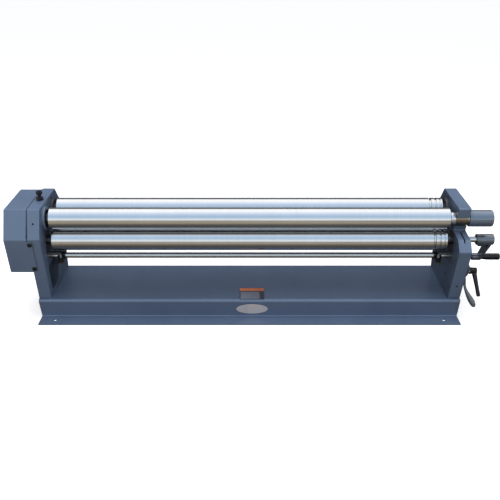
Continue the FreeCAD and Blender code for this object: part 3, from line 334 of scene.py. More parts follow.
def turnedFinish(name, look):
    material, tree, shader = newMaterial(name)
    grain = useGroup(tree, turnedGrain, Rings=look["rings"], Smears=look["smears"])
    colour = mixColour(tree, grain["Shade"], look["dark"], look["light"])
    rough = spread(tree, grain["Shade"], look["gloss"])
    # darken the journals and end faces: old oil and painted shade
    for box in look.get("oiledAndShaded", ()):
        paintedShade, colour = addBoxShade(tree, colour, look, box)
        duller = mathNode(tree, "MULTIPLY", paintedShade, look["filmDull"])
        rough = mathNode(tree, "ADD", rough, duller, clamp=True)
    tree.links.new(colour, shader.inputs["Base Color"])
    tree.links.new(rough, shader.inputs["Roughness"])
    shader.inputs["Metallic"].default_value = look["metal"]
    addBump(tree, shader, grain["Height"], look, "turned")
    return material


def darkFinish(name, look):
    material, tree, shader = newMaterial(name)
    grain, colour = wornPaint(tree, look)
    tree.links.new(colour, shader.inputs["Base Color"])
    tree.links.new(spread(tree, grain["Gloss"], look["gloss"]), shader.inputs["Roughness"])
    shader.inputs["Metallic"].default_value = look["metal"]
    shader.inputs["Specular IOR Level"].default_value = look.get("specular", 0.5)
    addBump(tree, shader, grain["Height"], look, "dark")
    return material


# the hollow shade keys darken hollows and inner corners as painted shade
machineBlue = {"dark": (0.109, 0.160, 0.258), "light": (0.128, 0.184, 0.290), "rubbed": (0.24, 0.29, 0.37),
               "dustColour": (0.26, 0.29, 0.34), "peel": 520.0, "patches": 4.0, "edge": 0.0016,
               "wear": 0.35, "breakup": 45.0, "dust": 0.06, "gloss": (0.34, 0.44), "specular": 0.5,
               "bump": 0.08, "softEdge": 0.0012, "coat": 0.0, "coatGloss": 0.2, "hollowShade": 0.7,
               "hollowShadeReach": 0.09, "hollowShadeColour": (0.020, 0.024, 0.030)}
# painted shade on the base's whole top, which the rolls shade, in the left frame's pocket and on the right
# frame's inner face
baseBlue = dict(machineBlue, gloss=(0.22, 0.26), bump=0.03, dust=0.03, hollowShade=0.0, paintedShade=0.30,
                paintedShadeColour=(0.020, 0.034, 0.066), paintedShadeBox=((-1, -1, 0.0792), (1, 1, 1)))
leftFrameBlue = dict(machineBlue, paintedShade=0.62, paintedShadeColour=(0.020, 0.026, 0.034),
                     paintedShadeBox=((-0.7265, -0.105, 0.094), (-0.7008, 0.010, 0.206)))
rightFrameBlue = dict(machineBlue, paintedShade=0.52, paintedShadeColour=(0.020, 0.026, 0.034),
                      paintedShadeBox=((0.6, -1, 0), (0.7012, 1, 1)))
castGrey = dict(machineBlue, dark=(0.110, 0.128, 0.142), light=(0.140, 0.158, 0.172), gloss=(0.36, 0.5),
                bump=0.2, peel=260.0)
crankDark = dict(machineBlue, dark=(0.062, 0.084, 0.122), light=(0.080, 0.106, 0.148), gloss=(0.18, 0.26),
                 bump=0.12, peel=240.0, softEdge=0.0025, coat=1.0, coatGloss=0.10, specular=0.8)
knobGloss = dict(machineBlue, dark=(0.076, 0.118, 0.184), light=(0.086, 0.130, 0.200), gloss=(0.14, 0.20),
                 bump=0.01, dust=0.02, softEdge=0.0, coat=1.0, coatGloss=0.07, specular=0.8)
# journals and end faces are dark with old oil and with painted shade, where they sit between the roll bodies
# and the frames
leftEnds = ((-0.7435, -1, -1), (-0.6795, 1, 1))
rightEnds = ((0.6795, -1, -1), (0.7435, 1, 1))
groundSteel = {"dark": (0.545, 0.55, 0.555), "light": (0.60, 0.605, 0.61), "rings": 260.0, "smears": 7.0,
               "gloss": (0.15, 0.20), "metal": 1.0, "bump": 0.008, "oiledAndShaded": (leftEnds, rightEnds),
               "paintedShade": 1.0, "paintedShadeColour": (0.10, 0.10, 0.105), "filmDull": 0.16}
hardSteel = {"rings": 900.0, "metal": 1.0}
blackCoat = {"peel": 600.0, "patches": 30.0, "edge": 0.0006, "breakup": 150.0, "bump": 0.1}
labelPrint = {"peel": 700.0, "patches": 60.0, "edge": 0.0005, "wear": 0.2, "breakup": 200.0, "metal": 0.0,
              "bump": 0.05}
finishes = {
    "frame_paint": paintFinish("machineEnamel", machineBlue),
    "base_paint": paintFinish("baseEnamel", baseBlue),
    "left_frame_paint": paintFinish("leftFrameEnamel", leftFrameBlue),
    "right_frame_paint": paintFinish("rightFrameEnamel", rightFrameBlue),
    "lever_paint": paintFinish("leverEnamel", castGrey),
    "crank_paint": paintFinish("crankEnamel", crankDark),
    "knob_paint": paintFinish("knobEnamel", knobGloss),
    "roll_steel": turnedFinish("rollSteel", groundSteel),
    "top_roll_steel": turnedFinish("topRollSteel", dict(groundSteel, oiledAndShaded=(leftEnds,))),
    "bright_steel": turnedFinish("brightSteel", dict(
        hardSteel, dark=(0.43, 0.425, 0.42), light=(0.52, 0.515, 0.505), smears=8.0, gloss=(0.22, 0.28),
        bump=0.012)),
    "oiled_steel": turnedFinish("oiledSteel", dict(
        hardSteel, dark=(0.15, 0.148, 0.145), light=(0.26, 0.255, 0.25), smears=20.0, gloss=(0.26, 0.4),
        bump=0.03)),
    "bronze": turnedFinish("bearingBronze", dict(
        hardSteel, dark=(0.15, 0.123, 0.088), light=(0.29, 0.247, 0.180), rings=1500.0, smears=40.0,
        gloss=(0.26, 0.38), bump=0.04)),
    "gear_steel": turnedFinish("gearSteel", dict(
        hardSteel, dark=(0.16, 0.155, 0.15), light=(0.30, 0.295, 0.29), rings=500.0, smears=30.0,
        gloss=(0.32, 0.48), bump=0.06)),
    "plate_face": turnedFinish("brushedPlate", dict(
        hardSteel, dark=(0.60, 0.585, 0.60), light=(0.70, 0.685, 0.70), rings=60.0, smears=40.0,
        gloss=(0.32, 0.45), metal=0.15, bump=0.03)),
    "block_iron": darkFinish("blockIron", {
        "dark": (0.045, 0.050, 0.058), "light": (0.085, 0.092, 0.105), "rubbed": (0.3, 0.3, 0.3),
        "peel": 300.0, "patches": 14.0, "edge": 0.0012, "wear": 0.6, "breakup": 70.0,
        "gloss": (0.38, 0.55), "metal": 0.5, "bump": 0.15}),
    "black_steel": darkFinish("blackSteel", dict(
        blackCoat, dark=(0.012, 0.012, 0.014), light=(0.03, 0.03, 0.032), rubbed=(0.18, 0.18, 0.18),
        wear=0.5, gloss=(0.3, 0.45), metal=0.6)),
    "black_plastic": darkFinish("blackPlastic", {
        "dark": (0.005, 0.005, 0.006), "light": (0.010, 0.010, 0.012), "rubbed": (0.03, 0.03, 0.03),
        "peel": 900.0, "patches": 20.0, "edge": 0.0008, "wear": 0.3, "breakup": 90.0,
        "gloss": (0.09, 0.15), "metal": 0.0, "specular": 0.28, "bump": 0.02, "softEdge": 0.001}),
    # near-black grub screws: black oxide, made darker still as painted shade for their socket holes
    "socket_black": darkFinish("socketShadeBlack", dict(
        blackCoat, dark=(0.003, 0.003, 0.003), light=(0.006, 0.006, 0.006), rubbed=(0.02, 0.02, 0.02),
        wear=0.2, gloss=(0.7, 0.85), metal=0.0)),
    "label_dark": darkFinish("labelDark", dict(
        labelPrint, dark=(0.020, 0.022, 0.030), light=(0.032, 0.034, 0.045), rubbed=(0.12, 0.12, 0.13),
        wear=0.3, gloss=(0.3, 0.42))),
    "label_field": darkFinish("labelField", dict(
        labelPrint, dark=(0.140, 0.155, 0.210), light=(0.170, 0.185, 0.245), rubbed=(0.25, 0.25, 0.28),
        gloss=(0.35, 0.48))),
    "label_orange": darkFinish("labelOrange", dict(
        labelPrint, dark=(0.52, 0.12, 0.045), light=(0.66, 0.18, 0.070), rubbed=(0.6, 0.3, 0.2),
        gloss=(0.32, 0.45)))}


cadSlots = {row["node"]: row["material_slot"] for row in frame["record"]["subparts"]}
ownFinishes = {"top_roll": "top_roll_steel", "base_channel": "base_paint",
               "left_end_frame": "left_frame_paint", "right_end_frame": "right_frame_paint"}
for node, slot in cadSlots.items():
    materials = nodes[node].data.materials
    materials.clear()
    materials.append(finishes[ownFinishes.get(node, slot)])
print("finishes made and put on the frame")


# mesh helpers; a stack is a list of closed rings with the same count
def stackMesh(name, stacks, finish, body, smooth=30.0, stands=(), closed=()):
    # a stack's ends are capped, or its last ring joins the first if its place in the list is in closed
    form = bmesh.new()
    for index, rings in enumerate(stacks):
        loops = [[form.verts.new(point) for point in ring] for ring in rings]
        count = len(loops[0])
        for low, high in zip(loops, loops[1:] + loops[:1] if index in closed else loops[1:]):
            for j in range(count):
                k = (j + 1) % count
                form.faces.new((low[j], low[k], high[k], high[j]))
        if index not in closed:
            form.faces.new(list(reversed(loops[0])))
            form.faces.new(loops[-1])
    bmesh.ops.recalc_face_normals(form, faces=form.faces)
    mesh = bpy.data.meshes.new(name)
    form.to_mesh(mesh)
    form.free()
    mesh.shade_smooth()
    mesh.set_sharp_from_angle(angle=math.radians(smooth))
    mesh.materials.append(finishes[finish])
    piece = bpy.data.objects.new(name, mesh)
    bpy.context.scene.collection.objects.link(piece)
    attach(piece, body)
    if stands:
        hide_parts(*stands)


def acrossOf(axis):
    # two directions across an axis
    nearlyUpright = abs(axis.dot(upright)) >= 0.9
    first = axis.cross(alongX if nearlyUpright else upright).normalized()
    return first, axis.cross(first).normalized()


knurlDepth = 0.3


def ringAt(base, axis, distance, radius, kind, count):
    # one ring across an axis: round, knurled, or a hexagon whose flats lie at the radius
    first, second = acrossOf(axis)
    ring = []
    for j in range(count):
        turn = 2 * math.pi * j / count
        reach = radius
        if kind == "hex":
            reach = radius / math.cos((turn + math.pi / 6) % (math.pi / 3) - math.pi / 6)
        elif kind == "knurl":
            reach = radius - (knurlDepth * mm if j % 2 else 0.0)
        ring.append(base + axis * distance + (first * math.cos(turn) + second * math.sin(turn)) * reach)
    return ring


def turnedStack(base, axis, stations, count=72):
    # stations are (distance, radius) in millimetres, with the kind of ring unless it is round
    return [ringAt(base, axis, distance * mm, radius * mm, kind[0] if kind else "round", count)
            for distance, radius, *kind in stations]


def threadStack(base, axis, start, end, pitch, radius, depth, count, steps):
    # rings of a rod whose radius follows a helix between two distances, all in millimetres
    first, second = acrossOf(axis)
    total = max(2, int((end - start) / pitch * steps))
    rings = []
    for i in range(total + 1):
        distance = start + (end - start) * i / total
        ring = []
        for j in range(count):
            turn = 2 * math.pi * j / count
            wave = (distance / pitch - j / count) % 1.0
            reach = (radius - depth * (1 - abs(2 * wave - 1))) * mm
            ring.append(base + axis * (distance * mm)
                        + (first * math.cos(turn) + second * math.sin(turn)) * reach)
        rings.append(ring)
    return rings


def quarterRound(start, radius, edge, steps):
    # stations that round an outer edge of a turned form, from its side to its end face
    return [(start + edge * math.sin(math.pi / 2 * i / steps),
             radius - edge * (1 - math.cos(math.pi / 2 * i / steps))) for i in range(steps + 1)]


def fromEnd(length, stations):
    # stations given by their depth under the end of a turned form
    return [(length - depth, *rest) for depth, *rest in stations]


def softRing(centre, wideAxis, halfWide, thickAxis, halfThick, power=2.6, count=40):
    # one ring of a limb with a rounded oblong section
    ring = []
    for j in range(count):
        turn = 2 * math.pi * j / count
        c, s = math.cos(turn), math.sin(turn)
        u = math.copysign(abs(c) ** (2 / power), c)
        v = math.copysign(abs(s) ** (2 / power), s)
        ring.append(centre + wideAxis * (u * halfWide * mm) + thickAxis * (v * halfThick * mm))
    return ring


def smoothBetween(sections, share):
    # values at a share of the length, on a smooth curve through the given sections
    for i in range(len(sections) - 1):
        if share <= sections[i + 1][0]:
            break
    before = sections[max(i - 1, 0)]
    first, second = sections[i], sections[i + 1]
    after = sections[min(i + 2, len(sections) - 1)]
    t = (share - first[0]) / (second[0] - first[0])
    values = []
    for k in range(1, len(first)):
        entering = (second[k] - before[k]) / (second[0] - before[0]) * (second[0] - first[0])
        leaving = (after[k] - first[k]) / (after[0] - first[0]) * (second[0] - first[0])
        values.append((2 * t ** 3 - 3 * t ** 2 + 1) * first[k] + (t ** 3 - 2 * t ** 2 + t) * entering
                      + (3 * t ** 2 - 2 * t ** 3) * second[k] + (t ** 3 - t ** 2) * leaving)
    return values


def plateRing(centre, up, outward, halfLong, halfHigh, corner, height, count=64):
    # outline of a flat plate: corner 0 gives an oval, else a rectangle with that corner radius
    ring = []
    for j in range(count):
        turn = 2 * math.pi * (j + 0.5) / count
        c, s = math.cos(turn), math.sin(turn)
        if corner <= 0:
            u, v = c * halfLong, s * halfHigh
        else:
            u = math.copysign(halfLong - corner, c) + c * corner
            v = math.copysign(halfHigh - corner, s) + s * corner
        ring.append(centre + alongX * (u * mm) + up * (v * mm) + outward * (height * mm))
    return ring


def flatPlate(name, centre, up, outward, size, steps, finish):
    # steps are (inset, height) pairs from the wall outwards
    rings = [plateRing(centre, up, outward, size["halfLong"] - inset, size["halfHigh"] - inset,
                       size["corner"] - inset * 0.5 if size["corner"] > 0 else 0, height)
             for inset, height in steps]
    stackMesh(name, [rings], finish, "frame")


# bare oval plate on the front wall of the base
def makeFrontPlate():
    wall = {"footY": -125, "footZ": 5, "topInset": 36, "topZ": 80}
    plate = {"x": 9.0, "z": 39.5, "halfLong": 57.0, "halfHigh": 24.0, "corner": 0,
             "rim": [(0, 0), (0, 0.7), (0.4, 1.0), (1.2, 1.0), (1.6, 0.7)],
             "face": [(0.5, 0.1), (0.5, 0.9), (0.9, 1.25), (2.2, 1.3), (6.0, 1.4)]}
    foot = Vector((0, wall["footY"] * mm, wall["footZ"] * mm))
    top = Vector((0, baseFront + wall["topInset"] * mm, wall["topZ"] * mm))
    up = (top - foot).normalized()
    outward = up.cross(alongX)
    outward = outward if outward.y < 0 else -outward
    centre = foot + up * ((plate["z"] - wall["footZ"]) * mm / up.z) + alongX * (plate["x"] * mm)
    flatPlate("frontPlateRim", centre, up, outward, plate, plate["rim"], "black_steel")
    flatPlate("frontPlateFace", centre, up, outward, plate, plate["face"], "plate_face")


# bare label on the top of the base
def makeTopLabel():
    label = {"x": 8.5, "y": -97.0, "z": 80, "halfLong": 44.0, "halfHigh": 43.0, "corner": 2.0,
             "steps": [(0, 0), (0, 0.15), (0.2, 0.25)]}
    printed = {"edge": 0.6, "steps": [(0, 0.1), (0, 0.28), (0.1, 0.32)]}
    band = {"halfLong": label["halfLong"] - printed["edge"], "halfHigh": 10.5, "corner": 1.2}
    field = {"left": 4.0, "right": 17.0, "forward": 12.0, "halfHigh": 27.0, "corner": 1.5}
    field["halfLong"] = (2 * label["halfLong"] - field["left"] - field["right"]) / 2
    back = Vector((0, 1, 0))
    centre = Vector((label["x"] * mm, label["y"] * mm, label["z"] * mm))
    flatPlate("topLabelBody", centre, back, upright, label, label["steps"], "label_dark")
    bandPlace = centre + back * ((label["halfHigh"] - band["halfHigh"] - printed["edge"]) * mm)
    flatPlate("topLabelBand", bandPlace, back, upright, band, printed["steps"], "label_orange")
    aside = (field["left"] - field["right"]) / 2
    fieldPlace = centre + alongX * (aside * mm) - back * (field["forward"] * mm)
    flatPlate("topLabelField", fieldPlace, back, upright, field, printed["steps"], "label_field")


# screw with a jam nut on the left frame
def makeLockScrew():
    screw = {"foot": [(2.0, 5.6)],
             "thread": {"start": 3.0, "end": 20.4, "pitch": 1.75, "radius": 6.0, "depth": 1.0, "count": 72,
                        "steps": 8},
             "head": [(21.0, 5.2), (21.0, 9.7), (21.8, 10.5, "knurl"), (30.8, 10.5, "knurl"), (31.7, 9.6),
                      (32.0, 8.7), (32.0, 5.124), (31.4, 4.2, "hex"), (25.5, 4.2, "hex")],
             "nut": [(0.0, 6.2), (0.0, 11.0), (0.9, 11.0, "hex"), (9.0, 11.0, "hex"), (10.0, 10.6),
                     (10.0, 7.2), (8.8, 5.2)]}
    centre = centreOf("lock_screw")
    foot = Vector((centre.x, centre.y, leftTop))
    stack = turnedStack(foot, upright, screw["foot"]) + threadStack(foot, upright, **screw["thread"])
    stack += turnedStack(foot, upright, screw["head"])
    stackMesh("lockScrewThreaded", [stack], "black_steel", "frame", stands=("lock_screw",))
    stackMesh("lockScrewNutChamfered", [turnedStack(foot, upright, screw["nut"])], "black_steel", "frame",
              smooth=25.0, stands=("lock_screw_nut",))


# button heads that hold the gear cover
def makeCoverScrews():
    head = {"radius": 8.0, "height": 4.4, "rim": 1.2, "crown": 0.42, "domeSteps": 6,
            "way": (0, -0.97774, -0.2098),
            "foot": [(-3.0, 4.0), (0, 4.0), (0, 8.0)],
            "socket": [(0.0, 3.12), (0.3, 2.6, "hex"), (2.4, 2.6, "hex")],
            "seats": ((-735.0, -185.45, 308.71), (-735.0, -164.47, 210.93))}
    way = Vector(head["way"]).normalized()
    dome = []
    for i in range(head["domeSteps"] + 1):
        turn = math.radians(90 * i / head["domeSteps"])
        dome.append((head["rim"] + (head["height"] - head["rim"]) * math.sin(turn),
                     head["radius"] * (head["crown"] + (1 - head["crown"]) * math.cos(turn))))
    stations = head["foot"] + dome + fromEnd(head["height"], head["socket"])
    stacks = [turnedStack(Vector(seat) * mm, way, stations) for seat in head["seats"]]
    stackMesh("coverScrewHeads", stacks, "black_steel", "frame", stands=("cover_screws",))


# flush grub screws in the end frames
def makeGrubScrews():
    grub = {"stations": [(-0.5, 3.6), (0.15, 3.6), (0.25, 3.3), (0.25, 1.68), (0.1, 1.4, "hex"),
                         (0.08, 1.4, "hex")],
            "places": {"left": ((-721.5, -164.6, 376.0), (0, -0.9166, 0.3998)),
                       "right": ((721.5, -151.7, 137.0), (0, -0.9502, -0.3118))}}
    for side, (spot, way) in grub["places"].items():
        stack = turnedStack(Vector(spot) * mm, Vector(way).normalized(), grub["stations"])
        stackMesh(side + "GrubScrew", [stack], "socket_black", "frame")


# bright end of a dowel in the cap over the top roll's bush
def makeDowelEnd():
    dowel = {"place": (700.0, -124.0, 406.0),
             "stations": [(-0.5, 3.6), (0.25, 3.6), (0.5, 2.7), (0.55, 0.72)]}
    stack = turnedStack(Vector(dowel["place"]) * mm, -alongX, dowel["stations"])
    stackMesh("dowelEnd", [stack], "bright_steel", "frame")


# dark seam between the gear cover and the left frame
def makeCoverSeam():
    seam = {"x": -743.15, "halfWide": 0.75, "sink": 0.9, "stand": 0.12, "bend": 2.2, "bendSteps": 6,
            "middle": (-40, 300),
            "corners": ((-188.2, 333.0), (-145.3, 421.0), (55.0, 421.0), (100.0, 376.0), (100.0, 240.0))}
    corners = [Vector((seam["x"], *corner)) for corner in seam["corners"]]
    middle = Vector((seam["x"], *seam["middle"]))
    path = [corners[0]]
    for before, here, after in zip(corners, corners[1:], corners[2:]):
        start = here + (before - here).normalized() * seam["bend"]
        end = here + (after - here).normalized() * seam["bend"]
        for i in range(seam["bendSteps"] + 1):
            t = i / seam["bendSteps"]
            path.append(start * (1 - t) ** 2 + here * 2 * t * (1 - t) + end * t ** 2)
    path.append(corners[-1])
    section = ((-1, -seam["sink"]), (-1, seam["stand"]), (1, seam["stand"]), (1, -seam["sink"]))
    rings = []
    for i, point in enumerate(path):
        along = (path[min(i + 1, len(path) - 1)] - path[max(i - 1, 0)]).normalized()
        outward = along.cross(alongX) * -1
        outward = outward if outward.dot(point - middle) > 0 else -outward
        rings.append([(point + alongX * (side * seam["halfWide"]) + outward * reach) * mm
                      for side, reach in section])
    stackMesh("coverSeam", [rings], "black_steel", "frame", smooth=20.0)


# painted round knob at the end of the top roll
def makeKnob():
    low, high = boxOf("top_roll_knob")
    knob = {"radius": 28.5, "length": (high.x - low.x) / mm, "edge": 5.0,
            "lip": [(0.0, 14.0), (0.0, 26.9), (0.48, 28.02), (1.6, 28.5)],
            "dimple": [(0.0, 9.0), (0.6, 7.6), (1.0, 0.8)]}
    start = Vector((low.x, topRoll.y, topRoll.z))
    last = knob["length"] - knob["edge"]
    stations = knob["lip"] + quarterRound(last, knob["radius"], knob["edge"], steps=8)
    stations += fromEnd(knob["length"], knob["dimple"])
    stackMesh("topRollKnobTurned", [turnedStack(start, alongX, stations, count=96)], "knob_paint",
              "top_roll", smooth=35.0, stands=("top_roll_knob",))


# moulded grip of the crank
def makeGrip():
    low, high = boxOf("crank_grip")
    grip = {"radius": 12.0, "length": (high.x - low.x) / mm, "start": 1.2, "waist": 0.80, "swell": 0.38,
            "edge": 2.6, "steps": 16, "foot": [(0.0, 5.3), (0.0, 8.2)],
            "well": [(0.0, 8.5), (0.5, 8.0), (9.9, 8.0)]}
    centre = (low + high) / 2
    start = Vector((low.x, centre.y, centre.z))
    last = grip["length"] - grip["edge"]
    stations = list(grip["foot"])
    for i in range(grip["steps"] + 1):
        share = i / grip["steps"]
        t = min(1.0, share / grip["swell"])
        swell = t * t * (3 - 2 * t)
        radius = grip["radius"] * (grip["waist"] + (1 - grip["waist"]) * swell)
        stations.append((grip["start"] + (last - grip["start"]) * share, radius))
    stations += quarterRound(last, grip["radius"], grip["edge"], steps=5)[1:]
    stations += fromEnd(grip["length"], grip["well"])
    stackMesh("crankGripMoulded", [turnedStack(start, alongX, stations, count=64)], "black_plastic",
              "crank_grip", smooth=35.0, stands=("crank_grip",))


def reachOf(outline, spot, way):
    # distance from a spot inside a flat outline to its edge, in one direction
    parallel, slack = 1e-9, 1e-6
    reaches = []
    for first, second in zip(outline, outline[1:] + outline[:1]):
        edge, gap = second - first, first - spot
        turn = way.x * edge.y - way.y * edge.x
        if abs(turn) < parallel:
            continue
        reach = (gap.x * edge.y - gap.y * edge.x) / turn
        share = (gap.x * way.y - gap.y * way.x) / turn
        if reach > 0 and -slack <= share <= 1 + slack:
            reaches.append(reach)
    return min(reaches)


def polar(radius, degrees):
    return Vector((radius * math.cos(math.radians(degrees)), radius * math.sin(math.radians(degrees))))


def sectorStack(sector):
    # a flat wedge about the shaft with a round-ended slot, its rings running round the slot
    first, last = sector["slot"]
    sweep = last - first
    middle, half, edge = sector["radius"], sector["slotHalf"], sector["edge"]
    outer = middle + sector["margin"]
    beside = math.degrees(2 * sector["margin"] / middle)
    steps = [i / sector["steps"] for i in range(sector["steps"] + 1)]
    wedge = [Vector((0, 0))] + [polar(outer, first - beside + (sweep + 2 * beside) * t) for t in steps]
    slot = [polar(middle + half, first + sweep * t) for t in steps]
    slot += [polar(middle, last) + polar(half, last + 180 * t) for t in steps[1:-1]]
    slot += [polar(middle - half, last - sweep * t) for t in steps]
    slot += [polar(middle, first) + polar(half, first + 180 + 180 * t) for t in steps[1:-1]]
    spot = polar(middle, (first + last) / 2)
    low, high = sector["x"], sector["x"] + sector["plate"]
    rings = []
    for i in range(sector["count"]):
        way = polar(1.0, 360 * i / sector["count"])
        rim, hole = reachOf(wedge, spot, way), reachOf(slot, spot, way)
        section = ((low, rim - edge), (low + edge, rim), (high - edge, rim), (high, rim - edge),
                   (high, hole + edge / 2), (high - edge / 2, hole), (low + edge / 2, hole),
                   (low, hole + edge / 2))
        corners = [(x, spot + way * reach) for x, reach in section]
        rings.append([Vector((x * mm, liftShaft.y + corner.x * mm, liftShaft.z + corner.y * mm))
                      for x, corner in corners])
    return rings


# lift lever: hub, slotted clamp sector and flared paddle
def makeLiftLever():
    sector = {"x": 747.0, "plate": 8.0, "radius": 64.0, "margin": 12.5, "slotHalf": 5.5,
              "slot": (211.2, 228.43), "edge": 1.0, "count": 144, "steps": 24}
    hub = {"length": 24.0, "radius": 20.0, "edge": 2.5, "foot": [(0.0, 10.3), (0.0, 19.5), (0.5, 20.0)],
           "well": [(0.0, 11.1), (0.8, 10.3), (3.4, 10.3)]}
    # the paddle's sections are (share of the length, share of the flare, half width, half thickness)
    paddle = {"length": 182.0, "direction": 240.0, "x": 751.0, "flare": 26.0, "power": 2.8, "steps": 40,
              "start": 0.10, "run": 0.85, "end": [0.962, 0.974, 0.984, 0.992],
              "tip": {"flare": 1.08, "half": (3.6, 2.4), "power": 2.2},
              "sections": ((0.10, 0.0, 7.0, 3.9), (0.30, 0.0, 6.8, 3.9), (0.48, 0.0, 6.8, 3.9),
                           (0.61, 0.0, 6.8, 4.0), (0.70, 0.20, 9.4, 5.4), (0.78, 0.45, 13.0, 7.6),
                           (0.88, 0.80, 15.0, 9.8), (0.95, 1.0, 12.4, 8.0), (1.0, 1.08, 6.0, 4.2))}
    hubStart = Vector((sector["x"] * mm, liftShaft.y, liftShaft.z))
    stations = hub["foot"] + quarterRound(hub["length"] - hub["edge"], hub["radius"], hub["edge"], steps=6)
    stations += fromEnd(hub["length"], hub["well"])
    alongPaddle = Vector((0, *polar(1.0, paddle["direction"])))
    across = alongX.cross(alongPaddle)
    start = Vector((paddle["x"] * mm, liftShaft.y, liftShaft.z))
    shares = [paddle["start"] + paddle["run"] * i / paddle["steps"] for i in range(paddle["steps"] + 1)]
    rings = []
    for share in shares + paddle["end"]:
        flare, wide, thick = smoothBetween(paddle["sections"], share)
        centre = start + (alongPaddle * (paddle["length"] * share * mm)
                          + alongX * (paddle["flare"] * flare * mm))
        rings.append(softRing(centre, across, wide, alongX, thick, paddle["power"]))
    tip = paddle["tip"]
    end = start + alongX * (paddle["flare"] * tip["flare"] * mm) + alongPaddle * (paddle["length"] * mm)
    rings.append(softRing(end, across, tip["half"][0], alongX, tip["half"][1], tip["power"]))
    stackMesh("liftLeverCast", [sectorStack(sector), turnedStack(hubStart, alongX, stations), rings],
              "lever_paint", "lift_shaft", smooth=45.0, stands=("lift_lever",), closed=(0,))


# ratchet clamp lever with its hub screw
def makeClampLever():
    hub = {"start": 758.4, "end": 784.4, "neck": 10.9, "edge": 3.0,
           "foot": [(0.0, 7.1), (0.0, 11.2), (0.6, 11.8), (7.0, 11.8), (7.8, 11.1), (14.0, 10.9)],
           "well": [(0.0, 5.4), (1.4, 5.0), (1.4, 0.6)],
           "screw": [(1.8, 3.6), (0.7, 3.6), (0.3, 3.2), (0.3, 1.9), (0.5, 1.6, "hex"), (1.3, 1.6, "hex")]}
    # the limb's sections are (share of the length, half width, half thickness)
    limb = {"way": (20.0, -34.0, -92.0), "length": 92.0, "root": 9.6, "power": 3.0, "steps": 36,
            "last": 0.98, "tip": {"half": (6.6, 5.2), "power": 2.6,
                                  "rings": ((0.99, 0.86), (0.997, 0.66), (1.0, 0.4))},
            "sections": ((0.0, 9.4, 8.4), (0.14, 8.6, 7.8), (0.33, 7.8, 6.9), (0.62, 7.2, 6.2),
                         (0.76, 7.0, 6.0), (0.84, 7.4, 6.1), (0.92, 7.8, 6.3), (0.97, 7.0, 5.6),
                         (1.0, 5.2, 4.2))}
    stud = centreOf("clamp_stud")
    start = Vector((hub["start"] * mm, stud.y, stud.z))
    depth = hub["end"] - hub["start"]
    stations = hub["foot"] + quarterRound(depth - hub["edge"], hub["neck"], hub["edge"], steps=5)
    stations += fromEnd(depth, hub["well"])
    down = Vector(limb["way"]).normalized()
    side = Vector((0, -down.z, down.y)).normalized()
    flat = down.cross(side)
    root = Vector(((hub["end"] - limb["root"]) * mm, stud.y, stud.z))
    rings = []
    for i in range(limb["steps"] + 1):
        share = limb["last"] * i / limb["steps"]
        wide, thick = smoothBetween(limb["sections"], share)
        rings.append(softRing(root + down * (limb["length"] * share * mm), side, wide, flat, thick,
                              limb["power"]))
    tip = limb["tip"]
    for share, shrink in tip["rings"]:
        rings.append(softRing(root + down * (limb["length"] * share * mm), side, tip["half"][0] * shrink,
                              flat, tip["half"][1] * shrink, tip["power"]))
    stackMesh("clampLeverMoulded", [turnedStack(start, alongX, stations, count=64), rings],
              "black_plastic", "clamp_lever", smooth=40.0, stands=("clamp_lever",))
    button = turnedStack(start, alongX, fromEnd(depth, hub["screw"]))
    stackMesh("clampLeverScrew", [button], "bright_steel", "clamp_lever")


# threads and chamfered ends of the rear adjusting screws
def makeRearScrews():
    screw = {"thread": {"start": 30.5, "end": 206.0, "pitch": 2.5, "radius": 10.0, "depth": 1.4,
                        "count": 36, "steps": 6},
             "collar": [(22.5, 14.0), (25.5, 14.0), (25.5, 8.0), (28.3, 8.0), (28.3, 8.6), (29.6, 9.9)],
             "tail": [(207.0, 9.0), (222.0, 9.0)], "down": (0, 0.70711, -0.70711)}
    down = Vector(screw["down"]).normalized()
    for side in ("left", "right"):
        name = side + "_rear_screw"
        base = Vector((centreOf(name).x, rearRoll.y, rearRoll.z))
        stack = turnedStack(base, down, screw["collar"], screw["thread"]["count"])
        stack += threadStack(base, down, **screw["thread"])
        stack += turnedStack(base, down, screw["tail"], screw["thread"]["count"])
        stackMesh(side + "RearScrewThreaded", [stack], "bright_steel", name, stands=(name,))


# lift bolts with threads, a turned tip and a chamfered head, each with its nut
def makeLiftBolts():
    bolt = {"x": 656.0, "reach": 22.0, "turn": 7.6138, "below": 19.0, "short": 0.6,
            "head": [(0.0, 7.8), (0.8, 9.0, "hex"), (7.0, 9.0, "hex"), (7.0, 5.4)],
            "thread": {"pitch": 1.75, "radius": 6.0, "depth": 1.0, "count": 72, "steps": 6},
            "threadStart": 7.2, "threadStop": 2.4, "tip": [(2.2, 5.0), (0.0, 4.0)],
            "nut": [(7.0, 6.1), (7.0, 8.7), (7.7, 9.0, "hex"), (12.3, 9.0, "hex"), (13.0, 8.7),
                    (13.0, 6.1)]}
    turn = math.radians(bolt["turn"])
    way = Vector((0, -math.sin(turn), math.cos(turn)))
    arm = Vector((0, -math.cos(turn), -math.sin(turn)))
    for side, sign in (("left", -1), ("right", 1)):
        axis = Vector((sign * bolt["x"] * mm, liftShaft.y, liftShaft.z))
        foot = axis + arm * (bolt["reach"] * mm) - way * (bolt["below"] * mm)
        top = boxOf(side + "_lift_bolt")[1].z
        length = (top - foot.z) / mm / math.cos(turn) - bolt["short"]
        stack = turnedStack(foot, way, bolt["head"])
        stack += threadStack(foot, way, bolt["threadStart"], length - bolt["threadStop"], **bolt["thread"])
        stack += turnedStack(foot, way, fromEnd(length, bolt["tip"]))
        stackMesh(side + "LiftBoltThreaded", [stack], "oiled_steel", "lift_shaft",
                  stands=(side + "_lift_bolt",))
        stackMesh(side + "LiftNutChamfered", [turnedStack(foot, way, bolt["nut"])], "black_steel",
                  "lift_shaft", smooth=25.0, stands=(side + "_lift_bolt_nut",))


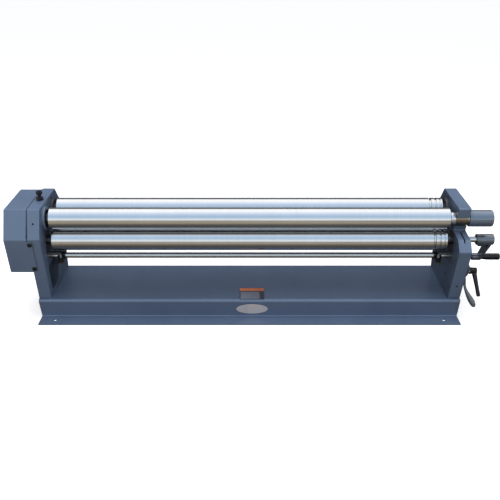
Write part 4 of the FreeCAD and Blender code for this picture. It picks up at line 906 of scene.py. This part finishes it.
makeFrontPlate()
makeTopLabel()
print("plates made")
makeLockScrew()
makeCoverScrews()
makeGrubScrews()
makeDowelEnd()
makeCoverSeam()
makeRearScrews()
makeLiftBolts()
print("fasteners made")
makeKnob()
makeGrip()
makeLiftLever()
makeClampLever()
print("handles made")


# studio
def makeWorld():
    # bands run over the machine, from the front horizon (0) past the zenith (0.5) to the back one (1);
    # polished faces mirror the first, and the second lights dull ones
    sky = {"strength": 1.7, "seen": (0.70, 0.70, 0.70), "sideFall": 0.95, "aside": (0.0, 0.0, 0.0),
           "mirrored": [(0.0, (0.86, 0.88, 0.88)), (0.05, (0.76, 0.80, 0.84)), (0.12, (0.46, 0.60, 0.74)),
                        (0.22, (0.37, 0.51, 0.66)), (0.35, (0.54, 0.64, 0.82)), (0.48, (0.77, 0.87, 0.97)),
                        (0.56, (1.0, 1.0, 1.0)), (0.72, (1.0, 1.0, 1.0)), (0.77, (0.12, 0.13, 0.15)),
                        (1.0, (0.08, 0.08, 0.09))],
           "lighting": [(0.0, (0.28, 0.29, 0.31)), (0.20, (0.68, 0.71, 0.76)), (0.36, (0.68, 0.71, 0.76)),
                        (0.55, (0.16, 0.17, 0.19)), (1.0, (0.08, 0.08, 0.08))]}
    world = bpy.data.worlds.new("studio")
    world.use_nodes = True
    tree = world.node_tree
    parts = partsOf(tree, addNode(tree, "ShaderNodeTexCoord").outputs["Generated"])
    front = mathNode(tree, "MULTIPLY", parts["Y"], -1.0)
    height = mathNode(tree, "MAXIMUM", parts["Z"], 0.0)
    angle = mathNode(tree, "DIVIDE", mathNode(tree, "ARCTAN2", height, front), math.pi)
    rays = addNode(tree, "ShaderNodeLightPath").outputs
    sideways = mathNode(tree, "ABSOLUTE", parts["X"])
    aside = mathNode(tree, "MULTIPLY", sideways, sky["sideFall"], clamp=True)
    lighting = mixColour(tree, aside, rampNode(tree, angle, sky["lighting"]), sky["aside"])
    cast = mixColour(tree, rays["Is Glossy Ray"], lighting, rampNode(tree, angle, sky["mirrored"]))
    background = tree.nodes["Background"]
    tree.links.new(mixColour(tree, rays["Is Camera Ray"], cast, sky["seen"]), background.inputs["Color"])
    background.inputs["Strength"].default_value = sky["strength"]
    bpy.context.scene.world = world


def makeFloor():
    # pale to the eye; what it throws back at the machine runs in bands from behind it to the front, dark
    # under and near the machine as a painted shadow
    ground = {"half": 40.0, "pale": (0.96, 0.96, 0.96), "glow": 0.62, "back": 0.4, "reach": 8.0,
              "rough": 0.9, "dark": (0.0, 0.0, 0.0), "white": (1.0, 1.0, 1.0),
              "bands": [(0.0, (0.07, 0.07, 0.08)), (0.055, (0.09, 0.085, 0.08)), (0.085, (0.12, 0.11, 0.10)),
                        (0.115, (0.24, 0.22, 0.18)), (0.15, (0.62, 0.53, 0.40)), (0.26, (0.56, 0.50, 0.40)),
                        (1.0, (0.86, 0.79, 0.72))]}
    half = ground["half"]
    mesh = bpy.data.meshes.new("floor")
    mesh.from_pydata([(-half, -half, 0), (half, -half, 0), (half, half, 0), (-half, half, 0)], [],
                     [(0, 1, 2, 3)])
    floor = bpy.data.objects.new("floor", mesh)
    bpy.context.scene.collection.objects.link(floor)
    material, tree, shader = newMaterial("paleFloor")
    seen = addNode(tree, "ShaderNodeLightPath").outputs["Is Camera Ray"]
    forward = mathNode(tree, "SUBTRACT", ground["back"], partsOf(tree, objectPlace(tree))["Y"])
    share = mathNode(tree, "DIVIDE", forward, ground["reach"], clamp=True)
    thrown = rampNode(tree, share, ground["bands"])
    tree.links.new(mixColour(tree, seen, thrown, ground["pale"]), shader.inputs["Base Color"])
    shader.inputs["Roughness"].default_value = ground["rough"]
    shader.inputs["Specular IOR Level"].default_value = 0.0
    tree.links.new(mixColour(tree, seen, ground["dark"], ground["white"]), shader.inputs["Emission Color"])
    shader.inputs["Emission Strength"].default_value = ground["glow"]
    mesh.materials.append(material)


def makeLights():
    target = Vector((0.0, 0.0, 0.3))
    lights = {"overhead": {"place": (-0.05, -0.05, 2.7), "size": (3.4, 1.2), "power": 48,
                           "colour": (1, 1, 1)},
              "frontFill": {"place": (-0.8, -3.2, 0.8), "size": (3.0, 0.5), "power": 23,
                            "colour": (1.0, 0.90, 0.80)}}
    for name, look in lights.items():
        light = bpy.data.lights.new(name, "AREA")
        light.shape = "RECTANGLE"
        light.size, light.size_y = look["size"]
        light.energy = look["power"]
        light.color = look["colour"]
        lamp = bpy.data.objects.new(name, light)
        lamp.location = look["place"]
        lamp.rotation_euler = (target - lamp.location).to_track_quat("-Z", "Y").to_euler()
        lamp.visible_camera = False
        lamp.visible_glossy = False
        bpy.context.scene.collection.objects.link(lamp)


def makeCamera():
    view = {"place": (0.0017, -2.414, 1.299), "pitch": 65.67, "lens": 52.56, "sensor": 36.0}
    data = bpy.data.cameras.new("camera")
    data.lens = view["lens"]
    data.sensor_width = view["sensor"]
    camera = bpy.data.objects.new("camera", data)
    camera.location = view["place"]
    camera.rotation_euler = (math.radians(view["pitch"]), 0, 0)
    bpy.context.scene.collection.objects.link(camera)
    bpy.context.scene.camera = camera


makeWorld()
makeFloor()
makeLights()
makeCamera()
bpy.context.scene.view_settings.view_transform = "Standard"
print("studio, lights and camera made")
